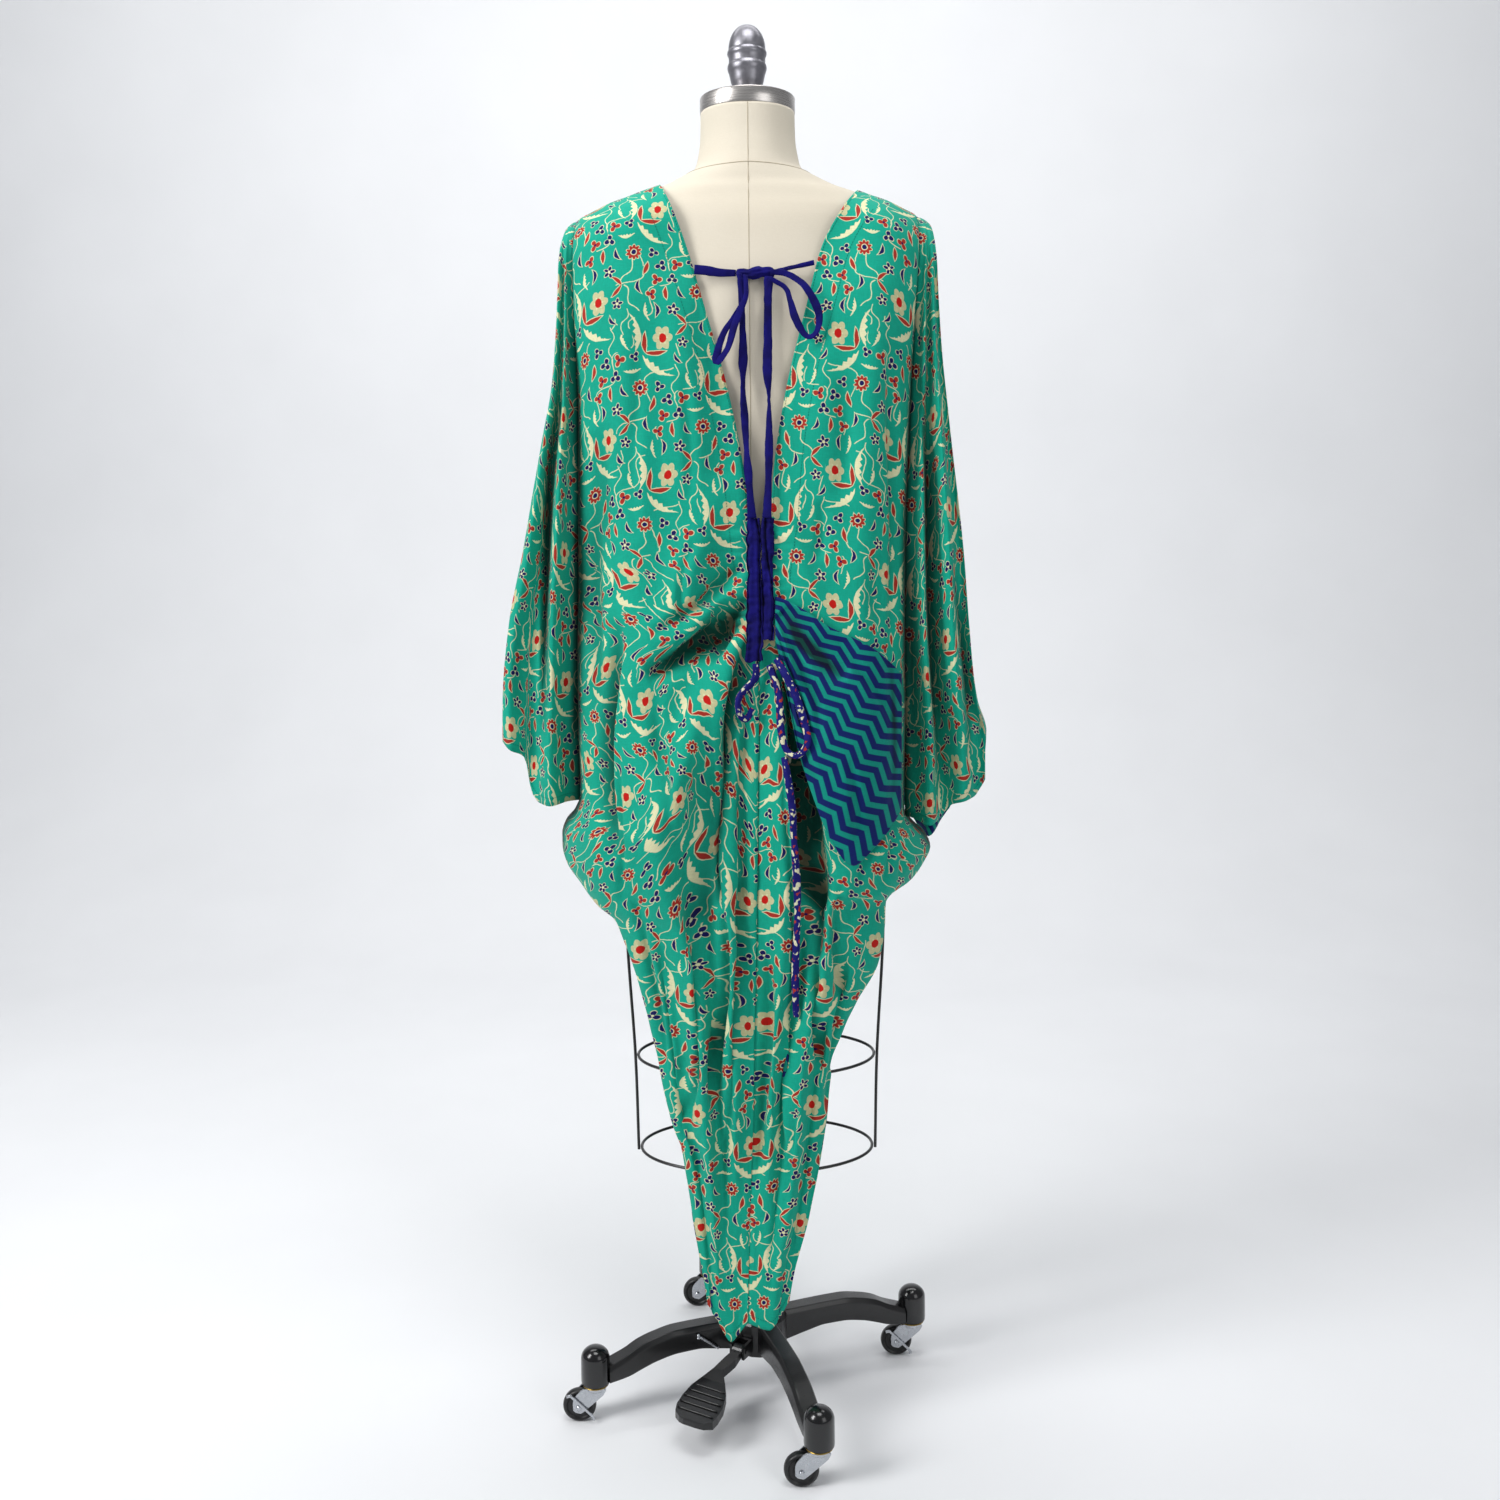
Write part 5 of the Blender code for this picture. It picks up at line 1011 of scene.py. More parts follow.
# Reverse of the cloth, turned out at the right hip.
# Edges: share of the way from the casing, x, height of the top and the bottom edge.
swag = {
    "edges": (
        (0.0, 0.0245, 0.989, 0.942), (0.12, 0.036, 0.985, 0.89), (0.22, 0.048, 0.979, 0.825),
        (0.34, 0.064, 0.969, 0.772), (0.48, 0.083, 0.956, 0.726), (0.62, 0.106, 0.945, 0.698),
        (0.76, 0.129, 0.933, 0.715), (0.9, 0.151, 0.915, 0.735), (1.0, 0.1645, 0.902, 0.75),
    ),
    "creases": creasesOf("""
        7.4 11.1 26.7, 32 973, 42 958, 50 943, 66 927, 82 913, 99 900;
        3.7 4.9 6.1, 74 959, 93 937, 114 908, 136 878, 163 835;
        4.9 4.9 8.2, 43 943, 55 900, 66 879, 73 836;
        3.7 4.9 16.4, 148 932, 153 878, 155 813, 153 759;
        4.9 4.9 5.1, 103 814, 110 770, 112 726"""),
    "fan": ((-0.28, 1.195), 0.52),  # centre of the fan's rays and where the print keeps its size, from there
    "flat": (0.21, 0.30), "area": 0.040, "thick": 0.0008,
    "finish": zigzagReverse, "inside": lotusLawn, "slot": "zigzag_cotton",
    "stands for": ("swag_reverse",), "held": "folded", "rests on": ("kaftan_back_right",),
}


def hangSwag():
    xAt, topAt, lowAt = linesOf(swag["edges"])
    u, v = np.meshgrid(np.linspace(0, 1, 71), np.linspace(0, 1, 81))
    x = xAt(u)
    z = topAt(u) + (lowAt(u) - topAt(u)) * v
    lift = 0.0048 + 0.0070 * np.sin(np.pi * v) ** 0.7 * np.sin(np.pi * np.minimum(u * 1.1, 1)) ** 0.6
    lift += 0.0030 * np.cos(v * 7.5 * np.pi) * np.exp(-(u / 0.45) ** 2) * np.minimum(1, u * 8)
    creases = creaseDepth(swag["creases"], x, z)
    lift -= creases * np.clip(np.minimum(v, 1 - v) * 10, 0, 1) - 0.0006
    lift = np.maximum(lift, 0.0038)
    slack = np.minimum(backAt(rightBack, x, z), np.minimum(backAt(rightBack, x + 0.006, z),
                                                           backAt(rightBack, x - 0.006, z)))
    points = np.stack([x, slack - lift, z], axis=2)
    # the bands fan out from the casing that gathers them
    (fanX, fanZ), fanRadius = swag["fan"]
    turn = math.radians(zigzagPrint["turn"])
    along = np.hypot(x - fanX, z - fanZ)
    over = fanRadius * (np.arctan2(z - fanZ, x - fanX) - turn)
    lengths = np.stack([along * math.cos(turn) - over * math.sin(turn),
                        along * math.sin(turn) + over * math.cos(turn)], axis=2)
    addCloth("kaftan_reverse_swag", points, lengths, swag, np.maximum(creases, 0))


hangSwag()
print("swag hung")


def addTube(name, route, radius, finish, body, sides=10, closed=False, spacing=0.004, node=None,
            guide=None):
    # a round tube along a route; guide is a direction that it never runs along
    middle = evenRoute(list(route) + ([route[0]] if closed else []), spacing)
    middle = middle[:-1] if closed else middle
    if closed:
        ahead = unit(np.roll(middle, -1, axis=0) - np.roll(middle, 1, axis=0))
    else:
        ahead = unit(np.gradient(middle, axis=0))
    if guide is None:
        guide = np.array((0.0, 0.0, 1.0)) if abs(ahead[0][2]) < 0.7 else np.array((0.0, 1.0, 0.0))
    rows = ringsRound(middle, ahead, guide, radius, sides)
    piece = addPiece(name, rows, ringFaces(len(middle), sides, closed), finish, body)
    if node:
        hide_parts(node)
    return piece


# Neck tie: two flat bias tapes of one width all along, that flatten, fold and twist as they hang.
# route: x, y, z. wide: share of the way, width. turn: share of the way, degrees that the flat is turned.
tapes = {
    "strap_left": {
        "route": millimetres("""
            -58.3 -101.9 1334.5, -45 -101.2 1333.4, -31 -100.6 1331.2, -14.1 -101 1330.5"""),
        "wide": ((0, 0.0098), (0.3, 0.0102), (0.6, 0.0088), (0.85, 0.0074), (1, 0.0066)),
        "turn": ((0, 6), (1, -14)),
        "thick": 0.0026, "diameter": 0.0072},
    "strap_right": {
        "route": millimetres("""
            27.2 -101 1331.5, 43.4 -100.6 1335.4, 56 -100.3 1338, 69 -100 1340.8"""),
        "wide": ((0, 0.0048), (0.4, 0.0044), (0.7, 0.0050), (1, 0.0058)), "turn": ((0, 40), (1, -20)),
        "thick": 0.0034, "diameter": 0.0066},
    "tail_left": {
        "route": millimetres("""
            -8.5 -104.5 1325, -8.5 -105.8 1304, -8 -106.2 1287, -7.3 -106.6 1255.1, -7.8 -107.4 1208.5,
            -6 -108.8 1173.1, -4.2 -110 1136.3, -1.3 -112 1100.4, 0.5 -115 1072.7"""),
        "wide": ((0, 0.0078), (0.10, 0.0070), (0.22, 0.0076), (0.34, 0.0100), (0.42, 0.0066), (0.55, 0.0088),
                 (0.70, 0.0068), (0.80, 0.0094), (0.88, 0.0072), (1, 0.0104)),
        "turn": ((0, 20), (0.2, -25), (0.34, 5), (0.44, 45), (0.6, 8), (0.72, -40), (0.84, 0), (1, 15)),
        "thick": 0.0028, "diameter": 0.0070},
    "tail_right": {
        "route": millimetres("""
            20.5 -104.5 1326, 19.6 -106 1298, 19.3 -106.6 1262.1, 18.4 -107.4 1225, 19.8 -108.2 1197.9,
            19.3 -110 1136.1, 18 -112 1100.3, 16.7 -115 1072.7"""),
        "wide": ((0, 0.0100), (0.12, 0.0084), (0.25, 0.0094), (0.38, 0.0102), (0.47, 0.0064), (0.50, 0.0050),
                 (0.60, 0.0066), (0.72, 0.0092), (0.84, 0.0070), (1, 0.0102)),
        "turn": ((0, -10), (0.25, 12), (0.40, 0), (0.50, 80), (0.58, 160), (0.75, 185), (1, 170)),
        "thick": 0.0028, "diameter": 0.0070},
    "loop_left": {
        "route": millimetres("""
            -10.5 -108.8 1329, -10 -113 1313.4, -6.2 -113.6 1301, -10 -113 1294, -19 -113 1280,
            -29 -113.5 1264, -36.1 -114 1241, -33 -115.8 1238, -23 -116.5 1252, -15.5 -116.5 1276,
            -4 -116 1303.3, -4 -108.5 1327"""),
        "wide": ((0, 0.0050), (0.2, 0.0046), (0.35, 0.0068), (0.5, 0.0086), (0.56, 0.0070), (0.7, 0.0082),
                 (0.85, 0.0056), (1, 0.0050)),
        "turn": ((0, 30), (0.4, -10), (0.55, 30), (0.75, 10), (1, -20)),
        "thick": 0.0022, "diameter": 0.0060},
    "loop_right": {
        "route": millimetres("""
            22.5 -108.9 1330, 36 -111 1328.5, 47.2 -112.5 1323.3, 59 -114.5 1314, 67 -115 1301,
            73.4 -115 1285.2, 72.2 -115 1270, 65.5 -115 1262.2, 57.5 -115 1265, 48 -114 1282.4,
            43.2 -112.6 1299, 38 -111.2 1313, 21.5 -109.4 1323.5"""),
        "wide": ((0, 0.0056), (0.15, 0.0070), (0.3, 0.0092), (0.45, 0.0080), (0.55, 0.0062), (0.7, 0.0086),
                 (0.85, 0.0060), (1, 0.0048)), "turn": ((0, -20), (0.25, 25), (0.5, -30), (0.7, 15), (1, 35)),
        "thick": 0.0022, "diameter": 0.0064},
}
# Drawstring: a tube sewn from the printed cloth, crushed flat here and there.
cords = {
    "cord_loop_left": {
        "route": millimetres("""
            3.4 -128.8 916.5, 2.1 -126.8 900.4, -14.3 -133.8 882.1, -15.5 -135.2 864.7, -8 -131.7 856.9,
            -0.3 -128.8 867.8"""),
        "wide": ((0, 0.0074), (0.3, 0.0086), (0.6, 0.0078), (1, 0.0070)),
        "turn": ((0, 0), (0.5, 40), (1, 10))},
    "cord_loop_right": {
        "route": millimetres("""
            25.5 -133.4 922.1, 35.2 -141.8 904.9, 46.8 -145.4 880.1, 56.3 -150.5 847.7, 57.3 -153.5 831.5,
            46.5 -147.5 818.6, 34.7 -143.4 825.2, 29.5 -138.2 848, 27.6 -132.9 884.6, 18 -126.8 915"""),
        "wide": ((0, 0.0076), (0.2, 0.0092), (0.4, 0.0080), (0.55, 0.0070), (0.75, 0.0088), (1, 0.0074)),
        "turn": ((0, -10), (0.3, 20), (0.55, -20), (0.8, 30), (1, 0))},
    "cord_tail": {
        "route": millimetres("""
            33 -143 816.5, 35.5 -146 801, 40.6 -148 765, 42.6 -149.2 729.9, 44.6 -148.4 695.8,
            46.5 -137.8 645.9, 43.9 -128.2 574.2, 44.7 -125 521"""),
        "wide": ((0, 0.0074), (0.12, 0.0088), (0.3, 0.0078), (0.45, 0.0090), (0.6, 0.0074), (0.8, 0.0088),
                 (0.97, 0.0080), (1, 0.0062)), "turn": ((0, 0), (0.3, 35), (0.6, -15), (1, 25))},
}
crushed = {"sides": 16, "spacing": 0.0022, "diameter": 0.0074, "thick": 0.0056, "round": 0.022}


def addStrip(name, strip, thick, finish, seed):
    # a flat tube of cloth along its route, wrinkled across; gives back the piece and its middle line
    middle = evenRoute(strip["route"], crushed["spacing"])
    share = np.linspace(0, 1, len(middle))
    ahead = unit(np.gradient(middle, axis=0))
    facing = unit(facingCamera - ahead * (ahead @ facingCamera)[:, None])
    beside = np.cross(ahead, facing)
    wide = lineThrough(*zip(*strip["wide"]))(share)
    turn = np.radians(lineThrough(*zip(*strip["turn"]))(share))[:, None]
    flat = beside * np.cos(turn) + facing * np.sin(turn)
    over = facing * np.cos(turn) - beside * np.sin(turn)
    along = share * len(middle) * crushed["spacing"]
    sides = crushed["sides"]
    points, lengths = [], []
    for k in range(sides):
        angle = 2 * np.pi * k / sides
        a, b = math.cos(angle), math.sin(angle)
        across = np.sign(a) * abs(a) ** 0.8 * wide / 2
        across = across * (1 + 0.07 * unevenness(along, along * 0 + k, 0.006, 3.0, seed))
        lift = b * thick / 2 * (1 + 0.35 * unevenness(along, across, 0.005, 0.002, seed + 1))
        lift += 0.0004 * unevenness(along, across, 0.0035, 0.0025, seed + 2)
        points.append(middle + flat * across[:, None] + over * lift[:, None])
        lengths.append(np.stack([np.full(len(middle), crushed["round"] * k / sides), along], axis=1))
    rows = np.stack(points, axis=1).reshape(-1, 3)
    piece = addPiece(name, rows, ringFaces(len(middle), sides), finish)
    layPrint(piece, np.stack(lengths, axis=1))
    return piece, middle + formAxis


for number, (name, tape) in enumerate(tapes.items()):
    piece, line = addStrip("tie_" + name, tape, tape["thick"], navyTape, 20 + 3 * number)
    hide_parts("tie_" + name)

for number, (name, cord) in enumerate(cords.items()):
    piece, line = addStrip("drawstring_" + name, cord, crushed["thick"], tubeCord, 60 + 3 * number)
    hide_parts(name)

# Knot of the neck tie: gathered tape, wrapped once round
knot = {
    "spot": (0.0065, -0.1010, 1.3303), "around": 40,
    # distance along it, half height, half depth
    "swell": millimetres("""
        -20.5 1.8 1.8, -19 4.6 3.6, -13 5.6 4.6, -7.5 4.7 4.4, -2 6.2 5.6, 3 6 5.6, 7.8 4.6 4.4,
        13 5.4 4.6, 19 4.4 3.6, 20.5 1.6 1.8"""),
}


def addKnot():
    high, deep = linesOf(knot["swell"])
    along = np.linspace(-0.0205, 0.0205, 60)
    angle = np.linspace(0, 2 * np.pi, knot["around"], endpoint=False)
    x, a = np.meshgrid(along, angle, indexing="ij")
    folds = 1 + 0.09 * np.cos(7 * a + x * 160) + 0.05 * np.cos(11 * a - x * 240 + 1.3)
    z = high(x) * folds * np.sin(a) + 0.0010 * np.sin(x * 150)
    y = deep(x) * folds * np.cos(a)
    points = np.stack([x, y, z], axis=2) + np.array(knot["spot"])
    faces = ringFaces(len(along), knot["around"], inward=True)
    piece = addPiece("tie_knot_wrapped", points.reshape(-1, 3), faces, navyTape)
    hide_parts("tie_knot")


addKnot()

# Casing at the centre back: two channels of navy tape, gathered on the drawstring
casings = {
    "left": {"top": (0.0024, 1.0727), "low": (0.0020, 0.9195), "half": 0.0080, "seed": 71,
             "flat": (0.020, 0.20), "stands for": "casing_left"},
    "right": {"top": (0.0169, 1.0727), "low": (0.0163, 0.9420), "half": 0.0060, "seed": 75,
              "flat": (0.016, 0.17), "stands for": "casing_right"},
}


def addCasing(name, casing):
    v, side = np.meshgrid(np.linspace(0, 1, 150), np.linspace(-1, 1, 25), indexing="ij")
    low = casing["low"][1] + 0.0022 * unevenness(side, v * 0, 0.35, 1.0, casing["seed"] + 5)
    z = casing["top"][1] + (low - casing["top"][1]) * v
    middle = casing["top"][0] + (casing["low"][0] - casing["top"][0]) * v
    near = np.zeros(z.shape)
    for step in range(7):
        x = middle + (casing["half"] + 0.004) * (step / 3 - 1)
        near = np.minimum(near, np.minimum(backAt(leftBack, x, z), backAt(rightBack, x, z)))
    half = casing["half"] * (1 + 0.20 * unevenness(z, np.sign(side), 0.0075, 0.7, casing["seed"]))
    half *= 1 + 0.16 * unevenness(z, side * 0, 0.035, 1.0, casing["seed"] + 4)
    half *= 1 + 0.22 * rising(v - 0.86, 0.14)
    x = middle + half * np.sin(side * np.pi / 2)
    puff = np.cos(side * np.pi / 2) ** 0.5
    # short crinkles across, long soft folds down
    gather = unevenness(z, side, 0.0040, 0.45, casing["seed"] + 1) * (0.4 + 0.6 * np.abs(side))
    fold = unevenness(z, side, 0.055, 0.30, casing["seed"] + 2)
    lift = 0.0036 + 0.0036 * puff * (1 + 0.60 * gather) + 0.0030 * fold * puff
    wander = 2.2 * unevenness(z, side * 0, 0.07, 1.0, casing["seed"] + 3)
    groove = np.exp(-(np.sin(side * 2.6 + wander) / 0.32) ** 2)
    lift -= 0.0034 * puff * groove
    lift = np.maximum(lift, 0.0018)
    # painted shade: darkens the tape in its grooves and under its gathers
    depth = 0.021 * puff * groove + 0.020 * np.clip(-gather, 0, 1)
    points = np.stack([x, near - lift, z], axis=2)
    piece = {"finish": navyTape, "inside": navyTape, "slot": "navy_cotton", "thick": 0.0008,
             "held": "gathered", "flat": casing["flat"], "area": None, "stands for": (casing["stands for"],),
             "rests on": ("kaftan_back_left", "kaftan_back_right")}
    addCloth("casing_channel_" + name, points, clothLengths(points), piece, depth)


for name, casing in casings.items():
    addCasing(name, casing)

# Piping in the seam over the shoulder and along the sleeve's outer fold
piping = {"radius": 0.0013, "proud": 0.0009, "behind": 0.0006, "shoulder": (0.118, 0.198),
          "sleeve": (1.394, 1.02)}


def addPiping(name, side, sleeve, node):
    # over the shoulder from the neck, then down the sleeve
    outerX = linesOf(sleeve["edges"])[1]
    route = [(side * x, piping["behind"], float(shoulderAt(x)) + piping["proud"])
             for x in np.linspace(*piping["shoulder"], 18)]
    route += [(float(outerX(z)) + side * piping["proud"], piping["behind"], z)
              for z in np.linspace(*piping["sleeve"], 60)]
    addTube(name, route, piping["radius"], navyTape, "mast", node=node, guide=facingCamera)


addPiping("shoulder_piping_left", -1, leftSleeve, "piping_left")
addPiping("shoulder_piping_right", 1, rightSleeve, "piping_right")
print("ties, casing and piping in place")

# Stitches: short thread dashes along a line that lies on the cloth
stitches = {"long": 0.0021, "pitch": 0.0031, "radius": 0.00028, "proud": 0.0002}


def addStitches(name, lines):
    points, faces = [], []
    for line in lines:
        length = runAlong(line)
        for start in np.arange(0.001, length[-1] - stitches["long"], stitches["pitch"]):
            ends = [np.array([np.interp(s, length, line[:, k]) for k in range(3)])
                    for s in (start, start + stitches["long"])]
            ahead = (ends[1] - ends[0]) / np.linalg.norm(ends[1] - ends[0])
            across = np.cross(ahead, facingCamera)
            across /= np.linalg.norm(across)
            over = np.cross(across, ahead)
            first = len(points)
            for spot, size in ((ends[0], 0.5), ((ends[0] + ends[1]) / 2, 1.0), (ends[1], 0.5)):
                for k in range(6):
                    angle = math.pi * k / 3
                    reach = stitches["radius"] * size
                    points.append(spot + reach * (across * math.cos(angle) + over * math.sin(angle)))
            faces += ringFaces(3, 6, first=first)
    addPiece(name, points, faces, navyThread)


def besideEdge(points, distance, first, last):
    # a line down the cloth at a distance from its centre edge, between two heights
    line = []
    for row in points:
        run = runAlong(row)
        spot = [float(np.interp(distance, run, row[:, k])) for k in range(3)]
        if last < spot[2] < first:
            line.append((spot[0], spot[1] - stitches["proud"], spot[2]))
    return np.array(line)


facingLines = ((leftPoints, 0.024, 1.40, 0.93), (rightPoints, 0.030, 1.40, 1.00),
               (leftPoints, 0.0022, 1.42, 1.075), (rightPoints, 0.0022, 1.42, 1.075))
addStitches("facing_stitches", [besideEdge(*line) for line in facingLines])


def aboveHem(points, distance, proud):
    # a line along the cloth at a distance above its hem
    line = []
    for column in points.transpose(1, 0, 2)[::-1]:
        run = runAlong(column[::-1])
        spot = [float(np.interp(distance, run, column[::-1][:, k])) for k in range(3)]
        line.append((spot[0], spot[1] + proud, spot[2]))
    return np.array(line)


hemLines = ((leftPoints, 0.011, -0.0003), (rightPoints, 0.011, -0.0003), (frontPoints, 0.011, 0.0003))
addStitches("hem_stitches", [aboveHem(*line) for line in hemLines])
cuffBacks = (leftSleevePoints[:, :46], rightSleevePoints[:, :46])
addStitches("cuff_stitches", [aboveHem(cuff, 0.009, -0.0003) for cuff in cuffBacks])
print("stitched")


def paintedMetal(name, colour, darker, metallic, rough, grain, bump, coat=0.0):
    # Shared base for the stand's hard finishes: a mottled colour, an uneven gloss and a faint relief.
    finish, add, shader = newFinish(name)
    where = add("TexCoord").node.outputs["Object"]
    mottle = add("TexNoise", where, grain, 4.0, 0.6)
    tint = add("Mix RGBA", mottle, linear(darker), linear(colour))
    gloss = add("MapRange", mottle, 0.3, 0.7, rough * 0.8, rough * 1.2)
    relief = add("Bump", Height=mottle, Strength=bump, Distance=0.0005)
    setSockets(shader, {"Base Color": tint, "Roughness": gloss, "Normal": relief,
                        "Metallic": metallic, "Coat Weight": coat, "Coat Roughness": 0.12})
    return finish


# black stoving enamel on cast iron: soft wide highlights with a slight orange peel
enamelIron = paintedMetal("black stoving enamel", "#0B0B0D", "#060607", 0.0, 0.34, 420.0, 0.22, 0.15)
# moulded black plastic of the castor caps: smoother, so it shows small sharp glints
glossPlastic = paintedMetal("moulded black nylon", "#0A0A0C", "#060608", 0.0, 0.20, 260.0, 0.06, 0.3)
# bright plating on pressed steel: a cool mirror that is slightly clouded
zincSteel = paintedMetal("zinc plated steel", "#C9CCD1", "#A9ACB2", 1.0, 0.26, 160.0, 0.10)
# yellow passivation on the castors' collars: a warm metal with cloudy patches
brassRing = paintedMetal("yellow passivated zinc", "#B79A54", "#8E7334", 1.0, 0.30, 200.0, 0.05)
# black rubber of the castors' treads: dull, with a fine moulded grain
tyreRubber = paintedMetal("black rubber tread", "#0E0E10", "#08080A", 0.0, 0.38, 300.0, 0.12)
# silver grey satin lacquer on a turned wooden knob: a dull sheen that is a little mottled
greyLacquer = paintedMetal("silver grey lacquer on turned wood", "#9A999F", "#7E7D84", 0.85, 0.38,
                           140.0, 0.18)


def brushedSteel():
    # Brushed stainless band: fine marks run round it, so lights stretch up and down.
    finish, add, shader = newFinish("brushed stainless steel")
    where = add("TexCoord").node.outputs["Object"]
    marks = add("Mapping", where, Scale=(30, 30, 5200))
    brushed = add("TexNoise", marks, 1.0, 3.0)
    tint = add("Mix RGBA", brushed, linear("#B2ADA9"), linear("#D8D4D0"))
    gloss = add("MapRange", brushed, 0.3, 0.7, 0.2, 0.34)
    relief = add("Bump", Height=brushed, Strength=0.15, Distance=0.0002)
    setSockets(shader, {"Base Color": tint, "Roughness": gloss, "Normal": relief, "Metallic": 1.0,
                        "Anisotropic": 0.6})
    return finish


def linenCanvas(name, colour, darker):
    # Stretched linen canvas: matt cream with an open plain weave that catches the light softly.
    finish, add, shader = newFinish(name)
    where = add("TexCoord").node.outputs["Object"]
    weave = []
    for stretch in ((260, 260, 2600), (2600, 2600, 260)):
        thread = add("Mapping", where, Scale=stretch)
        weave.append(add("TexNoise", thread, 0.7, 2.0))
    both = add("Math ADD", weave[0], weave[1])
    stain = add("TexNoise", where, 7.0, 2.0)
    mixed = add("Math MULTIPLY_ADD", both, 0.35, stain)
    share = add("MapRange", mixed, 0.55, 1.15)
    tint = add("Mix RGBA", share, linear(darker), linear(colour))
    relief = add("Bump", Height=both, Strength=0.25, Distance=0.0004)
    setSockets(shader, {"Base Color": tint, "Normal": relief, "Roughness": 0.88,
                        "Specular IOR Level": 0.15, "Sheen Weight": 0.1})
    return finish


formLinen = linenCanvas("unbleached linen canvas", "#DAD2C2", "#CFC6B4")
# the seams' darker linen is partly their own thread and partly painted shade of the groove that each seam
# makes
seamThreadAndShade = linenCanvas("linen seam thread with painted shade", "#B9AE98", "#A99E88")
plateSteel = brushedSteel()


def addTurned(name, profile, finish, body, spot=(0, 0, 0), steps=64, node=None, lying=False):
    # profile: radius and height from the top down the outside; lying turns the axis along Y
    points = []
    for radius, height in profile:
        radius = max(radius, 0.0001)
        for k in range(steps):
            angle = 2 * math.pi * k / steps
            ring = (radius * math.cos(angle), radius * math.sin(angle), height)
            points.append((ring[0], ring[2], ring[1]) if lying else ring)
    faces = ringFaces(len(profile), steps, inward=True)
    if lying:
        faces = [face[::-1] for face in faces]
    piece = addPiece(name, np.array(points) + np.array(spot), faces, finish, body)
    piece.data.set_sharp_from_angle(angle=math.radians(38))
    if node:
        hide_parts(node)
    return piece


# Limbless form in canvas, with its seams at the centre back and round the neck
torso = {"columns": 120, "within": 0.9985, "seamRadius": 0.00045}


def addTorso():
    halfAt, backAtHeight, frontAt = linesOf(formRows)
    heights = np.concatenate([np.linspace(1.519, 1.38, 60), np.linspace(1.378, 0.715, 90)])
    angle = np.linspace(0, 2 * np.pi, torso["columns"], endpoint=False)
    z, a = np.meshgrid(heights, angle, indexing="ij")
    power = 2 / hanging["formRound"]
    x = halfAt(z) * np.sign(np.cos(a)) * np.abs(np.cos(a)) ** power
    deep = np.where(np.sin(a) > 0, frontAt(z), backAtHeight(z))
    y = deep * np.sign(np.sin(a)) * np.abs(np.sin(a)) ** power
    points = np.stack([x * torso["within"], y * torso["within"], z], axis=2)
    piece = addPiece("form_canvas", points.reshape(-1, 3), ringFaces(*z.shape, inward=True), formLinen)
    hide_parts("torso")
    spine = [(0.0, -float(backAtHeight(h)) * torso["within"], h) for h in np.linspace(1.5185, 0.95, 60)]
    addTube("form_seam_centre", spine, torso["seamRadius"], seamThreadAndShade, "mast", 6)
    collar = []
    for k in range(48):
        bend = 2 * math.pi * k / 48
        h = 1.4545 - 0.0035 * abs(math.cos(bend))
        deep = float(frontAt(h) if math.sin(bend) > 0 else backAtHeight(h))
        collar.append((float(halfAt(h)) * math.copysign(abs(math.cos(bend)) ** power, math.cos(bend)),
                       deep * math.copysign(abs(math.sin(bend)) ** power, math.sin(bend)), h))
    addTube("form_seam_neck", collar, torso["seamRadius"], seamThreadAndShade, "mast", 6, closed=True)


addTorso()

neckPlate = millimetres("""
    0 1536, 51.5 1536, 52.7 1535.7, 53 1535, 53 1520.3, 52.7 1519.6, 51.8 1519.3, 0 1519.3""")
addTurned("neck_band", neckPlate, plateSteel, "mast", steps=96, node="neck_plate")
# knob: height above its foot, radius
knobRows = millimetres("""
    0 15.5, 3 15.6, 6 14.9, 10 15.3, 18 18.2, 27 20.3, 30.2 21.5, 33 21.9, 35.5 21.4, 37.8 20.4, 41 20.3,
    44.6 20.8, 47 21.9, 49.5 21.8, 51.5 20.6, 54.5 20.5, 60 19.6, 66 17.5, 72 13.6, 76.2 8.3, 78.7 0.1""")
knobLine = lineThrough(*zip(*knobRows))
knobProfile = [(float(knobLine(h)), 1.5363 + h) for h in np.concatenate([np.linspace(0.0787, 0.070, 14),
                                                                         np.linspace(0.0695, 0, 70)])]
addTurned("knob_turned", knobProfile, greyLacquer, "mast", steps=48, node="knob")
addTube("knob_foot_wire", [(0.0157 * math.cos(a), 0.0157 * math.sin(a), 1.5385)
                           for a in np.linspace(0, 2 * math.pi, 24, endpoint=False)],
        0.0006, greyLacquer, "mast", 8, closed=True)
print("form and neck in place")

# Wire cage under the form: height, half width, half depth of each ring
cage = {"rings": (("cage_ring_high", 0.4360, 0.1425, 0.0870), ("cage_ring_low", 0.3200, 0.1405, 0.0860)),
        "wire": 0.0018, "angles": (0, 62, 118, 180, 242, 298),
        "drop": millimetres("""
            714.7 154 96, 580 153.4 94.4, 436 146.4 90.9, 315 144.4 89.9""")}
for name, height, halfWidth, halfDepth in cage["rings"]:
    hoop = [(halfWidth * math.cos(a), halfDepth * math.sin(a), height)
            for a in np.linspace(0, 2 * math.pi, 40, endpoint=False)]
    addTube(name + "_wire", hoop, cage["wire"], enamelIron, "mast", 12, True, 0.006, name)
for number, degrees in enumerate(cage["angles"]):
    turn = math.radians(degrees)
    drop = [(wide * math.cos(turn), deep * math.sin(turn), height) for height, wide, deep in cage["drop"]]
    addTube("cage_drop_%d" % (number + 1), drop, cage["wire"], enamelIron, "mast", 12, False,
            0.006, "cage_wire_%d" % (number + 1))

